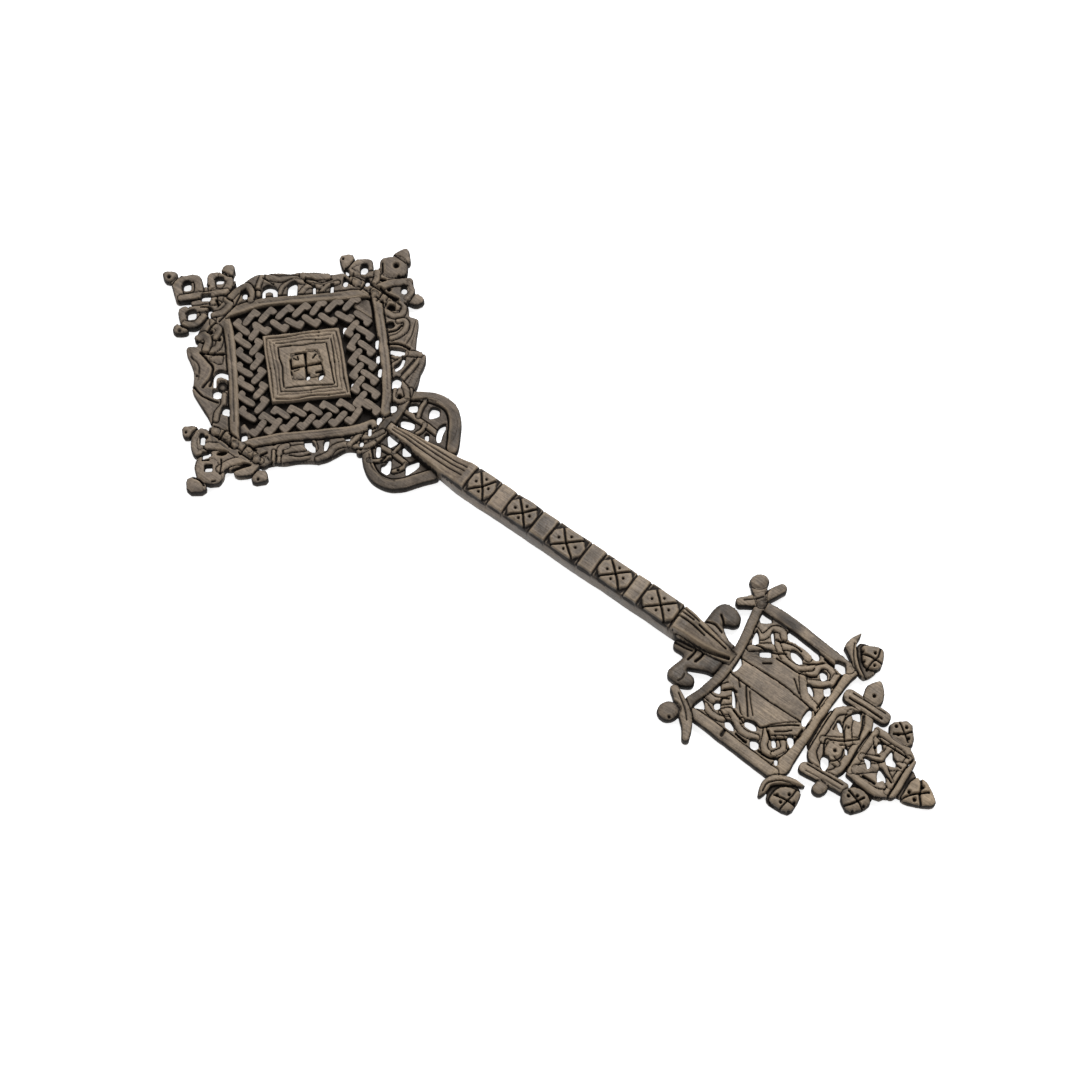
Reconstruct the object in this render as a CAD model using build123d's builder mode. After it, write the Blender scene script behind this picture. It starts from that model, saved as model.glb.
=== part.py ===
from build123d import *
from math import hypot
import os

os.makedirs("parts", exist_ok=True)

# Ethiopian hand cross of carved wood, lying on its flat back.
# X runs across the cross, Y along it towards the head, and Z up out of the carved face.
# The real cross is one board. Each solid here is one carved element of it, and neighbours meet
# face to face along the carver's cut lines. A plan is drawn through to what lies over it and is
# then trimmed by that, so the two always meet. All sizes are millimetres.

# Heights above the flat back
plate_thickness = 5.5  # frames, loops and rims
strap_height = 6.0  # straps that cross over a frame
web_height = 4.6  # pierced webs between the straps
border_height = 4.9
leaf_height = 5.1
braid_floor = 2.2
braid_height = 5.0
knob_height = 5.3
grip_thickness = 12.4
grip_end_thickness = 9.4
taper_tip_thickness = 6.6
grip_shoulder_drop = 4.0  # depth of the leaning edge beside the grip's top face

# Carved marks
groove_width = 0.7
groove_depth = 0.7
dot_radius = 0.6
dot_depth = 1.4

# Lengths along the cross, from the foot up
terminal_length = 14.0
foot_bar_width = 4.2
rosette_height = 20.4
lower_cross_height = 18.1
base_bottom_bar = 5.0
tracery_height = 38.0
base_top_bar = 3.8
lower_taper_length = 27.0
grip_length = 110.0
upper_taper_length = 38.2
neck_height = 7.6

# Head frame, a square stood on its corner, measured to the middle of its bars
frame_half_width = 45.1
frame_half_height = 43.1
frame_bar_width = 4.2
panel_half_width = 22.6
panel_half_height = 23.4
sunk_field_half = 9.6
sunk_field_floor = 2.4
petal_half = 3.9
petal_offset = 4.7
petal_height = 4.9
panel_groove_pitch = 2.6
panel_groove_count = 3

# Braid of the head, two rows of short strands to each side
strand_width = 3.1
strand_length = 8.4
strand_hook = 3.0  # how far a strand turns aside before it dives
braid_pitch = 7.0
outer_strand_start = (-20.9, 15.0)
inner_strand_start = (-13.6, 12.2)
strands_each_way = 5

# Straps across the corners of the head frame
collar_width = 5.8
top_collar_length = 33.0
side_collar_length = 24.0
top_collar_shift = 0.6
side_collar_shift = 1.2
collar_hole_radius = 1.5
top_collar_hole_offset = 11.4

# Corner finials of the head: a hub, three loops and three knobs
top_finial_reach = 10.3
side_finial_reach = 7.4
left_finial_lift = 1.4
right_finial_lift = -3.0
hub_half = 5.0
hub_corner_cut = 1.5
hub_link_width = 8.0
hub_hole_radius = 1.75
outer_loop_distance = 10.0
outer_loop_half_width = 7.2
outer_loop_inner_end = 5.6
outer_loop_outer_end = 6.6
side_loop_distance = 10.3
side_loop_half_width = 6.3
side_loop_inner_end = 5.6
side_loop_outer_end = 5.2
loop_hole_radius = 2.0
outer_knob_distance = 8.9
side_knob_distance = 7.8
knob_radius = 3.4

# Neck and the two pierced lobes under the head
neck_half_width = 19.5
neck_foot_half_width = 18.0
neck_top_half_width = 17.0
lobe_spread = 9.5
lobe_drop = 12.6
lobe_radius = 15.6
lobe_rim_width = 2.9

# Handle
handle_x = -0.3
grip_half_width = 6.5
grip_top_half_width = 5.0
grip_end_half_width = 5.0
upper_tip_half_width = 1.7
upper_tip_top_half = 1.2
lower_tip_half_width = 2.9
lower_tip_top_half = 2.0
grip_rise_length = 21.0
grip_panel_count = 5
grip_panel_pitch = 22.6
first_panel_drop = 9.7
grip_panel_half_length = 6.6
grip_panel_half_width = 4.1
grip_notch_width = 2.4
grip_notch_depth = 1.8

# Base, whose axis drifts to the left as it goes down, as it was cut by eye
base_x = -1.1
base_lean = 0.035
base_half_width = 27.7
base_side_bar = 4.8
base_bar_dip = 4.8
left_bar_overhang = 3.4
right_bar_overhang = 1.2
corner_strap_width = 3.7
corner_knob_radius = 4.8
cross_strap_width = 3.8
crossbar_width = 4.9
crossbar_length = 16.8
crossbar_offset = 17.7
crossbar_lean = 1.4
crossbar_rib_pitch = 2.4
crossbar_ribs_each_way = 2
rosette_half_width = 13.2
rosette_x = 0.8
rosette_bar = 3.9
foot_bar_half_length = 10.0

# Heights along Y, stacked from the foot, with Y zero half way along the cross
base_length = (terminal_length + foot_bar_width + rosette_height + lower_cross_height
               + base_bottom_bar + tracery_height + base_top_bar)
handle_length = lower_taper_length + grip_length + upper_taper_length
head_length = (neck_height / 2 + 2 * frame_half_height + top_finial_reach
               + outer_loop_distance + outer_knob_distance + knob_radius)
cross_length = base_length + handle_length + head_length
foot_y = -cross_length / 2
base_y = foot_y + base_length
grip_foot_y = base_y + lower_taper_length
grip_top_y = grip_foot_y + grip_length
neck_foot_y = grip_top_y + upper_taper_length
neck_y = neck_foot_y + neck_height / 2
head_y = neck_y + frame_half_height
top_vertex_y = head_y + frame_half_height

# Distances down from the top of the base
bottom_bar_down = base_top_bar + tracery_height
cross_down = bottom_bar_down + base_bottom_bar
rosette_down = cross_down + lower_cross_height
foot_bar_down = rosette_down + rosette_height
terminal_down = foot_bar_down + foot_bar_width

frame_side_length = hypot(frame_half_width, frame_half_height)
head_sides = {
    "upper_left": (-1, 1),
    "upper_right": (1, 1),
    "lower_right": (1, -1),
    "lower_left": (-1, -1),
}


def keep(piece, name):
    """Label a finished piece and write it out under its own name."""
    piece.part.label = name
    export_step(piece.part, f"parts/{name}.step")


def base_point(across, down):
    """Point of the base, from the top of its axis, which leans as it goes down."""
    return (base_x + across - base_lean * down, base_y - down)


def base_points(points, shift_down=0.0):
    """Points of the base, all moved down by the same distance."""
    return [base_point(across, down + shift_down) for across, down in points]


def beside(side, along, out):
    """Point near one side of the head frame: along the side from its middle, and out from it."""
    side_x, side_y = side
    run = (-side_x * frame_half_width / frame_side_length, side_y * frame_half_height / frame_side_length)
    normal = (side_x * frame_half_height / frame_side_length, side_y * frame_half_width / frame_side_length)
    middle = (side_x * frame_half_width / 2, head_y + side_y * frame_half_height / 2)
    return (
        middle[0] + along * run[0] + out * normal[0],
        middle[1] + along * run[1] + out * normal[1],
    )


def rhombus(half_width, half_height, grow=0.0):
    """Corner points of a square stood on its corner at the head's middle, grown outwards."""
    slant = hypot(half_width, half_height)
    reach_x = half_width + grow * slant / half_height
    reach_y = half_height + grow * slant / half_width
    return [(-reach_x, head_y), (0, head_y + reach_y), (reach_x, head_y), (0, head_y - reach_y)]


def outline(points, radius=0.0):
    """Plan through the points, with its outer corners rounded."""
    with BuildSketch() as plan:
        Polygon(*points, align=None)
        if radius > 0:
            offset(amount=-radius)
            offset(amount=radius)
    return plan


def strap(start, end, width):
    """Round-ended strap from one point to another."""
    middle = ((start[0] + end[0]) / 2, (start[1] + end[1]) / 2)
    with BuildSketch() as plan:
        SlotCenterPoint(middle, end, width)
    return plan


def curved_strap(start, middle, end, width):
    """Round-ended strap along an arc through three points."""
    arc = ThreePointArc(start, middle, end)
    with BuildSketch() as plan:
        SlotArc(arc, width)
    return plan


def ribbon(points, width):
    """Strap bent at each point, with square ends."""
    with BuildSketch() as plan:
        with BuildLine():
            Polyline(*points)
        trace(line_width=width)
    return plan


def holes(round_holes=(), outlines=()):
    """Plan of piercings: round ones as point and radius, others as lists of points."""
    with BuildSketch() as plan:
        for centre, radius in round_holes:
            with Locations(centre):
                Circle(radius)
        for points in outlines:
            Polygon(*points, align=None)
    return plan


def trimmed(plan, over=(), pierced=()):
    """Plan less the plans that lie over it and less its piercings."""
    with BuildSketch() as rest:
        add(plan.sketch)
        for cutter in over:
            add(cutter.sketch, mode=Mode.SUBTRACT)
        for cutter in pierced:
            add(cutter.sketch, mode=Mode.SUBTRACT)
    return rest


def dots(points, height):
    """Plan of small round pits on a top face at a height."""
    with BuildSketch(Plane.XY.offset(height)) as plan:
        with Locations(*points):
            Circle(dot_radius)
    return plan


def grooves(lines, height):
    """Plan of straight grooves on a top face at a height, each from one point to another."""
    with BuildSketch(Plane.XY.offset(height)) as plan:
        for start, end in lines:
            middle = ((start[0] + end[0]) / 2, (start[1] + end[1]) / 2)
            SlotCenterPoint(middle, end, groove_width)
    return plan


# Head: plans of what crosses over the frame
half_bar = frame_bar_width / 2
frame_plan = outline(rhombus(frame_half_width, frame_half_height, half_bar))
panel_plan = outline(rhombus(panel_half_width, panel_half_height))

with BuildSketch() as top_collar_plan:
    with Locations((0, top_vertex_y + top_collar_shift)):
        RectangleRounded(top_collar_length, collar_width, collar_width / 3)

side_collar_x = frame_half_width + side_collar_shift
with BuildSketch() as side_collar_plan:
    with Locations((-side_collar_x, head_y + left_finial_lift), (side_collar_x, head_y + right_finial_lift)):
        RectangleRounded(collar_width, side_collar_length, collar_width / 3)

neck_plan = outline([
    (-neck_foot_half_width, neck_foot_y),
    (-neck_half_width, neck_y),
    (-neck_top_half_width, neck_foot_y + neck_height),
    (neck_top_half_width, neck_foot_y + neck_height),
    (neck_half_width, neck_y),
    (neck_foot_half_width, neck_foot_y),
])
head_straps = [top_collar_plan, side_collar_plan, neck_plan]

# Head: the four bars of the frame, mitred at the corners under the straps
for name, (side_x, side_y) in head_sides.items():
    outer = rhombus(frame_half_width, frame_half_height, half_bar)
    inner = rhombus(frame_half_width, frame_half_height, -half_bar)
    outer_corner_x = side_x * outer[2][0]
    inner_corner_x = side_x * inner[2][0]
    outer_corner_y = head_y + side_y * (outer[1][1] - head_y)
    inner_corner_y = head_y + side_y * (inner[1][1] - head_y)
    bar_plan = outline([
        (outer_corner_x, head_y),
        (0, outer_corner_y),
        (0, inner_corner_y),
        (inner_corner_x, head_y),
    ])
    with BuildPart() as frame_bar:
        add(trimmed(bar_plan, head_straps).sketch)
        extrude(amount=plate_thickness)
    keep(frame_bar, f"head_frame_{name}")

# Head: the straps over the corners, with their small round holes
hole_y = top_vertex_y + top_collar_shift - collar_width / 6
collar_hole = holes([((top_collar_hole_offset, hole_y), collar_hole_radius)])
with BuildPart() as top_collar:
    add(trimmed(top_collar_plan, pierced=[collar_hole]).sketch)
    extrude(amount=strap_height)
    with BuildSketch(Plane.XY.offset(strap_height)):
        with Locations((-top_collar_hole_offset, hole_y)):
            Circle(collar_hole_radius)
    extrude(amount=-dot_depth, mode=Mode.SUBTRACT)
keep(top_collar, "head_top_collar")

with BuildPart() as side_collars:
    add(side_collar_plan.sketch)
    extrude(amount=strap_height)
keep(side_collars, "head_side_collars")

# Head: square panel on its corner, with nested grooves round a sunk field
field_plan = outline(rhombus(sunk_field_half, sunk_field_half))
with BuildPart() as centre_panel:
    add(trimmed(panel_plan, [field_plan]).sketch)
    extrude(amount=plate_thickness)
    with BuildSketch(Plane.XY.offset(plate_thickness)):
        for ring in range(panel_groove_count):
            step = panel_groove_pitch * (ring + 1)
            Polygon(*rhombus(panel_half_width, panel_half_height, -step), align=None)
            ring_inside = rhombus(panel_half_width, panel_half_height, -step - groove_width)
            Polygon(*ring_inside, align=None, mode=Mode.SUBTRACT)
    extrude(amount=-groove_depth, mode=Mode.SUBTRACT)
keep(centre_panel, "head_centre_panel")

# Head: four-petal cross on the floor of the sunk field, each petal with a drilled dot
petal_offsets = [(0, petal_offset), (petal_offset, 0), (0, -petal_offset), (-petal_offset, 0)]
petal_centres = [(x, head_y + y) for x, y in petal_offsets]
petal_side = petal_half * 2**0.5
with BuildPart() as petal_cross:
    add(field_plan.sketch)
    extrude(amount=sunk_field_floor)
    with BuildSketch(Plane.XY.offset(sunk_field_floor)):
        with Locations(*petal_centres):
            Rectangle(petal_side, petal_side, rotation=45)
    extrude(amount=petal_height - sunk_field_floor)
    add(dots(petal_centres, petal_height).sketch)
    extrude(amount=-dot_depth, mode=Mode.SUBTRACT)
keep(petal_cross, "head_petal_cross")


def strand_row(side):
    """Strands of one side of the braid, as centres and sizes: long ones, each with its hook."""
    side_x, side_y = side
    run_x = braid_pitch * frame_half_width / frame_side_length
    run_y = braid_pitch * frame_half_height / frame_side_length
    reach = (strand_length - strand_width) / 2
    hooked = strand_width + strand_hook
    row = []
    for step in range(-strands_each_way, strands_each_way + 1):
        outer_x = outer_strand_start[0] + step * run_x
        outer_y = outer_strand_start[1] + step * run_y
        inner_x = inner_strand_start[0] + step * run_x
        inner_y = inner_strand_start[1] + step * run_y
        row.append((outer_x, outer_y, strand_width, strand_length))
        row.append((outer_x + strand_hook / 2, outer_y + reach, hooked, strand_width))
        row.append((inner_x, inner_y, strand_length, strand_width))
        row.append((inner_x + reach, inner_y + strand_hook / 2, strand_width, hooked))
    if side_x == side_y:
        # the plait turns a quarter from one side of the frame to the next
        row = [(y, -x, long_y, long_x) for x, y, long_x, long_y in row]
    if side_y < 0:
        row = [(-x, -y, long_x, long_y) for x, y, long_x, long_y in row]
    return row


# Head: the braid, a floor with two rows of hooked strands standing on it
breakthroughs = holes([
    ((27.4, head_y - 18.9), 1.5),
    ((21.6, head_y - 24.0), 1.3),
    ((17.8, head_y - 28.6), 1.5),
    ((6.0, head_y - 22.3), 1.0),
])
band_outer = rhombus(frame_half_width, frame_half_height, -half_bar)
band_reach_x = band_outer[2][0]
band_reach_y = band_outer[1][1] - head_y
for name, (side_x, side_y) in head_sides.items():
    band_plan = outline([
        (side_x * band_reach_x, head_y),
        (0, head_y + side_y * band_reach_y),
        (0, head_y + side_y * panel_half_height),
        (side_x * panel_half_width, head_y),
    ])
    with BuildSketch() as strand_plan:
        for x, y, long_x, long_y in strand_row((side_x, side_y)):
            with Locations((x, head_y + y)):
                RectangleRounded(long_x, long_y, strand_width * 0.4)
        add(band_plan.sketch, mode=Mode.INTERSECT)
    with BuildPart() as braid:
        add(trimmed(band_plan, head_straps, [breakthroughs]).sketch)
        extrude(amount=braid_floor)
        add(trimmed(strand_plan, head_straps, [breakthroughs]).sketch)
        extrude(amount=braid_height)
    keep(braid, f"head_braid_{name}")

# Head: corner finials, each a hub with three loops and three knobs.
# Seen from its hub, Y points away from the head.
finials = {
    "top": (Location((0, top_vertex_y + top_finial_reach, 0)), top_finial_reach),
    "left": (
        Location((-frame_half_width - side_finial_reach, head_y + left_finial_lift, 0), (0, 0, 90)),
        side_finial_reach,
    ),
    "right": (
        Location((frame_half_width + side_finial_reach, head_y + right_finial_lift, 0), (0, 0, -90)),
        side_finial_reach,
    ),
}
hub_cut = hub_half - hub_corner_cut
knob_places = [
    (0, outer_loop_distance + outer_knob_distance),
    (side_loop_distance + side_knob_distance, 0),
    (-side_loop_distance - side_knob_distance, 0),
]
loop_plans = []
for name, (place, reach) in finials.items():
    with BuildSketch() as hub_plan:
        with Locations(place):
            Polygon(
                (-hub_cut, -hub_half), (-hub_half, -hub_cut), (-hub_half, hub_cut), (-hub_cut, hub_half),
                (hub_cut, hub_half), (hub_half, hub_cut), (hub_half, -hub_cut), (hub_cut, -hub_half),
                align=None,
            )
            Polygon(
                (-hub_link_width / 2, 0), (hub_link_width / 2, 0),
                (hub_link_width / 2, -reach), (-hub_link_width / 2, -reach),
                align=None,
            )
    with BuildSketch() as knob_plan:
        with Locations(place):
            with Locations(*knob_places):
                Circle(knob_radius)
    with BuildSketch() as outer_loop_plan:
        with Locations(place):
            with Locations((0, outer_loop_distance)):
                Polygon(
                    (-outer_loop_half_width * 0.5, -outer_loop_inner_end),
                    (-outer_loop_half_width, -0.5),
                    (-outer_loop_half_width * 0.4, outer_loop_outer_end),
                    (outer_loop_half_width * 0.4, outer_loop_outer_end),
                    (outer_loop_half_width, -0.5),
                    (outer_loop_half_width * 0.5, -outer_loop_inner_end),
                    align=None,
                )
        fillet(outer_loop_plan.vertices(), radius=1.2)
    side_loop_plans = []
    for turn in (1, -1):
        with BuildSketch() as side_loop_plan:
            with Locations(place):
                with Locations((turn * side_loop_distance, 0)):
                    Polygon(
                        (-turn * side_loop_inner_end, -side_loop_half_width * 0.56),
                        (-turn * side_loop_inner_end, side_loop_half_width * 0.56),
                        (-turn, side_loop_half_width),
                        (turn * side_loop_outer_end, side_loop_half_width * 0.5),
                        (turn * side_loop_outer_end, -side_loop_half_width * 0.5),
                        (-turn, -side_loop_half_width),
                        align=None,
                    )
            fillet(side_loop_plan.vertices(), radius=1.2)
        side_loop_plans.append(side_loop_plan)
    with BuildSketch() as loop_eyes:
        with Locations(place):
            with Locations((0, outer_loop_distance), (side_loop_distance, 0), (-side_loop_distance, 0)):
                Circle(loop_hole_radius)
    with BuildSketch() as hub_eye:
        with Locations(place):
            Circle(hub_hole_radius)

    hub_rest = trimmed(hub_plan, head_straps)
    outer_rest = trimmed(outer_loop_plan, [hub_plan, knob_plan] + head_straps, [loop_eyes])
    loop_plans.append(outer_loop_plan)
    with BuildPart() as hub:
        add(hub_rest.sketch)
        extrude(amount=plate_thickness)
        if name == "top":
            add(hub_eye.sketch)
            extrude(amount=plate_thickness, mode=Mode.SUBTRACT)
        else:
            add(hub_eye.sketch.moved(Location((0, 0, plate_thickness))))
            extrude(amount=-dot_depth, mode=Mode.SUBTRACT)
    keep(hub, f"{name}_finial_hub")

    with BuildPart() as loops:
        add(outer_rest.sketch)
        for side_loop_plan in side_loop_plans:
            over = [hub_plan, outer_loop_plan, knob_plan] + head_straps
            add(trimmed(side_loop_plan, over, [loop_eyes]).sketch)
            loop_plans.append(side_loop_plan)
        extrude(amount=plate_thickness)
    keep(loops, f"{name}_finial_loops")

    with BuildPart() as knobs:
        add(knob_plan.sketch)
        extrude(amount=knob_height)
        chamfer(knobs.faces().sort_by(Axis.Z)[-1].edges(), length=knob_radius / 5)
        with BuildSketch(Plane.XY.offset(knob_height)):
            with Locations(place):
                with Locations(*knob_places):
                    Circle(dot_radius)
        extrude(amount=-dot_depth, mode=Mode.SUBTRACT)
    keep(knobs, f"{name}_finial_knobs")

# Head: pierced leafy borders outside the frame, cut by eye, so no two are alike.
# Points run along each side from its middle, and out from the middle of its bar.
border_points = {
    "upper_left": [
        (-20.0, 0), (-21.6, 11.5), (-18.4, 10.5), (-9.7, 13.9), (-1.8, 16.5), (-0.8, 14.6),
        (3.8, 15.1), (11.5, 17.4), (16.6, 16.9), (18.6, 12.7), (20.0, 6.0), (20.0, 0),
    ],
    "upper_right": [
        (-19.0, 0), (-20.0, 9.9), (-17.9, 9.5), (-13.0, 11.7), (-3.5, 15.0), (-0.3, 13.4),
        (5.0, 15.4), (11.6, 17.2), (15.2, 16.6), (22.7, 12.9), (21.0, 5.0), (21.0, 0),
    ],
    "lower_right": [
        (-19.5, 0), (-19.0, 12.0), (-17.2, 15.8), (-14.5, 20.8), (-1.6, 16.2), (2.1, 20.8),
        (16.1, 14.6), (17.5, 9.0), (16.5, 0),
    ],
    "lower_left": [
        (-20.0, 0), (-20.6, 10.9), (-16.5, 12.6), (-14.1, 13.6), (-5.2, 12.9), (4.6, 14.4),
        (14.6, 10.6), (18.8, 11.6), (17.0, 0),
    ],
}
border_eyes = {
    "upper_left": [
        ((-2.6, 4.2), 1.7), ((0.4, 5.0), 2.1), ((3.0, 3.4), 1.6), ((-8.6, 6.1), 1.8), ((-16.3, 3.6), 1.7),
    ],
    "upper_right": [
        ((10.5, 5.9), 2.3), ((-1.2, 6.2), 2.4), ((1.8, 6.6), 2.3), ((-9.8, 4.6), 1.2), ((-16.3, 3.6), 1.7),
    ],
    "lower_right": [
        ((-1.2, 8.4), 1.5), ((0.6, 10.6), 1.6), ((5.2, 10.0), 1.2), ((7.4, 10.4), 1.1), ((13.9, 7.2), 1.9),
    ],
    "lower_left": [
        ((-2.2, 5.9), 1.7), ((-0.6, 4.6), 1.5), ((5.6, 6.2), 1.0), ((7.4, 7.0), 1.0), ((14.8, 5.0), 1.4),
    ],
}
for name, side in head_sides.items():
    border_plan = outline([beside(side, along, out) for along, out in border_points[name]])
    eyes = holes([(beside(side, along, out), radius) for (along, out), radius in border_eyes[name]])
    with BuildPart() as border:
        add(trimmed(border_plan, [frame_plan] + head_straps + loop_plans, [eyes]).sketch)
        extrude(amount=border_height)
    keep(border, f"head_border_{name}")

# Neck strap between the head and the lobes
neck_eye_places = [(-13.6, 0.9), (-7.6, 1.3), (-0.6, 1.7), (7.4, 0.2)]
neck_eyes = holes([((x, neck_y + y), 1.15) for x, y in neck_eye_places])
with BuildPart() as neck:
    add(trimmed(neck_plan, pierced=[neck_eyes]).sketch)
    extrude(amount=plate_thickness)
    add(dots([(13.6, neck_y + 1.2)], plate_thickness).sketch)
    extrude(amount=-dot_depth, mode=Mode.SUBTRACT)
keep(neck, "neck_strap")


def handle_section(y, half_width, top_half_width, thickness):
    """Section across the handle: upright sides, then edges that lean in to a narrower top face."""
    shoulder = thickness - grip_shoulder_drop * thickness / grip_thickness
    with BuildSketch(Plane.XZ.offset(-y)) as section:
        with Locations((handle_x, 0)):
            Polygon(
                (-half_width, 0), (half_width, 0), (half_width, shoulder),
                (top_half_width, thickness), (-top_half_width, thickness), (-half_width, shoulder),
                align=None,
            )
    return section


def handle_top(y):
    """Height of the grip's top face, which rises from the head and then runs level."""
    rise = min(max((grip_top_y - y) / grip_rise_length, 0.0), 1.0)
    return grip_end_thickness + rise * (grip_thickness - grip_end_thickness)


# Handle: the grip, with incised lozenge panels between plain blocks
grip_level_y = grip_top_y - grip_rise_length
grip_end_top_half = grip_top_half_width * grip_end_half_width / grip_half_width
with BuildPart() as grip:
    add(handle_section(grip_top_y, grip_end_half_width, grip_end_top_half, grip_end_thickness).sketch)
    add(handle_section(grip_level_y, grip_half_width, grip_top_half_width, grip_thickness).sketch)
    add(handle_section(grip_foot_y, grip_half_width, grip_top_half_width, grip_thickness).sketch)
    loft(ruled=True)
    for number in range(grip_panel_count):
        panel_y = grip_top_y - first_panel_drop - number * grip_panel_pitch
        top_z = handle_top(panel_y)
        slope = (handle_top(panel_y + 1) - handle_top(panel_y - 1)) / 2
        panel_plane = Plane(origin=(handle_x, panel_y, top_z), x_dir=(1, 0, 0), z_dir=(0, -slope, 1))
        half_w = grip_panel_half_width
        half_l = grip_panel_half_length
        with BuildSketch(panel_plane):
            for start, end in (
                ((-half_w, 0), (0, half_l)), ((0, half_l), (half_w, 0)),
                ((half_w, 0), (0, -half_l)), ((0, -half_l), (-half_w, 0)),
                ((-half_w, half_l), (half_w, -half_l)), ((half_w, half_l), (-half_w, -half_l)),
            ):
                middle = ((start[0] + end[0]) / 2, (start[1] + end[1]) / 2)
                SlotCenterPoint(middle, end, groove_width)
        extrude(amount=-groove_depth, mode=Mode.SUBTRACT)
        with BuildSketch(panel_plane):
            with Locations((half_w / 2, 0), (-half_w / 2, 0), (0, half_l * 0.72), (0, -half_l * 0.72)):
                Circle(dot_radius)
        extrude(amount=-dot_depth, mode=Mode.SUBTRACT)
    for number in range(grip_panel_count - 1):
        block_y = grip_top_y - first_panel_drop - (number + 0.5) * grip_panel_pitch
        block_half = grip_panel_pitch / 2 - grip_panel_half_length
        with BuildSketch(Plane.XY.offset(handle_top(block_y) - grip_notch_depth)):
            for turn_x in (1, -1):
                for turn_y in (1, -1):
                    edge_y = block_y + turn_y * block_half
                    Polygon(
                        (handle_x + turn_x * (grip_top_half_width + 1.5), edge_y - grip_notch_width / 2),
                        (handle_x + turn_x * (grip_top_half_width + 1.5), edge_y + grip_notch_width / 2),
                        (handle_x + turn_x * (grip_top_half_width - 1.9), edge_y),
                        align=None,
                    )
        extrude(amount=grip_notch_depth * 2, mode=Mode.SUBTRACT)
keep(grip, "handle_grip")

# Handle: the taper that runs up between the lobes to the neck
with BuildPart() as upper_taper:
    add(handle_section(neck_foot_y, upper_tip_half_width, upper_tip_top_half, taper_tip_thickness).sketch)
    add(handle_section(grip_top_y, grip_end_half_width, grip_end_top_half, grip_end_thickness).sketch)
    loft(ruled=True)
keep(upper_taper, "handle_upper_taper")

upper_taper_plan = outline([
    (handle_x - grip_end_half_width, grip_top_y),
    (handle_x - upper_tip_half_width, neck_foot_y),
    (handle_x + upper_tip_half_width, neck_foot_y),
    (handle_x + grip_end_half_width, grip_top_y),
])

# Base: plans of its top bar and of the taper that lands on it
top_bar_reach = base_half_width + base_side_bar / 3
top_bar_plan = curved_strap(
    base_point(-top_bar_reach, base_top_bar / 2 - base_bar_dip),
    base_point(0, base_top_bar / 2),
    base_point(top_bar_reach, base_top_bar / 2 - base_bar_dip),
    base_top_bar,
)
side_bar_top = base_top_bar / 2 - base_bar_dip * (base_half_width / top_bar_reach)**2
taper_end_y = base_y - base_top_bar / 2
lower_taper_plan = outline([
    (handle_x - grip_half_width, grip_foot_y),
    (handle_x + grip_half_width, grip_foot_y),
    (handle_x + lower_tip_half_width, taper_end_y),
    (handle_x - lower_tip_half_width, taper_end_y),
])
with BuildPart() as lower_taper:
    add(handle_section(grip_foot_y, grip_half_width, grip_top_half_width, grip_thickness).sketch)
    add(handle_section(taper_end_y, lower_tip_half_width, lower_tip_top_half, taper_tip_thickness).sketch)
    loft(ruled=True)
    add(top_bar_plan.sketch)
    extrude(amount=grip_thickness, mode=Mode.SUBTRACT)
keep(lower_taper, "handle_lower_taper")

# Lobes under the head: an outer rim and a pierced web each, parted by the handle
lobe_y = neck_foot_y - lobe_drop
lobe_eyes = {
    "left": [
        ((-2.6, 9.0), 1.3), ((4.6, 8.2), 2.0), ((-7.6, 1.4), 1.7), ((-5.6, 1.6), 1.7),
        ((3.9, -0.4), 1.4), ((-2.6, -6.2), 1.3), ((-0.6, -6.7), 1.5), ((1.6, -6.4), 1.3),
    ],
    "right": [
        ((-5.4, 8.0), 1.5), ((-5.0, 6.4), 1.5), ((2.4, 9.0), 1.3), ((5.4, 1.0), 2.0),
        ((-4.6, -3.4), 0.9), ((-2.4, -6.6), 1.3), ((-0.1, -7.1), 1.5), ((2.0, -6.8), 1.3),
    ],
}
for name, turn in (("left", -1), ("right", 1)):
    lobe_x = turn * lobe_spread
    far_side = lobe_spread + lobe_radius
    with BuildSketch() as other_half:
        Polygon(
            (handle_x, lobe_y - far_side), (handle_x, lobe_y + far_side),
            (handle_x - turn * far_side, lobe_y + far_side), (handle_x - turn * far_side, lobe_y - far_side),
            align=None,
        )
    with BuildSketch() as rim_plan:
        with Locations((lobe_x, lobe_y)):
            Circle(lobe_radius)
            Circle(lobe_radius - lobe_rim_width, mode=Mode.SUBTRACT)
        Polygon(
            (lobe_x, lobe_y), (lobe_x, neck_y), (handle_x, neck_y), (handle_x, lobe_y),
            align=None, mode=Mode.SUBTRACT,
        )
    disc_plan = holes([((lobe_x, lobe_y), lobe_radius)])
    eyes = holes([((lobe_x + x, lobe_y + y), radius) for (x, y), radius in lobe_eyes[name]])
    over = [upper_taper_plan, neck_plan, other_half]
    with BuildPart() as lobe_rim:
        add(trimmed(rim_plan, over).sketch)
        extrude(amount=plate_thickness)
    keep(lobe_rim, f"{name}_lobe_rim")
    with BuildPart() as lobe_web:
        add(trimmed(disc_plan, [rim_plan] + over, [eyes]).sketch)
        extrude(amount=web_height)
    keep(lobe_web, f"{name}_lobe_web")

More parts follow.
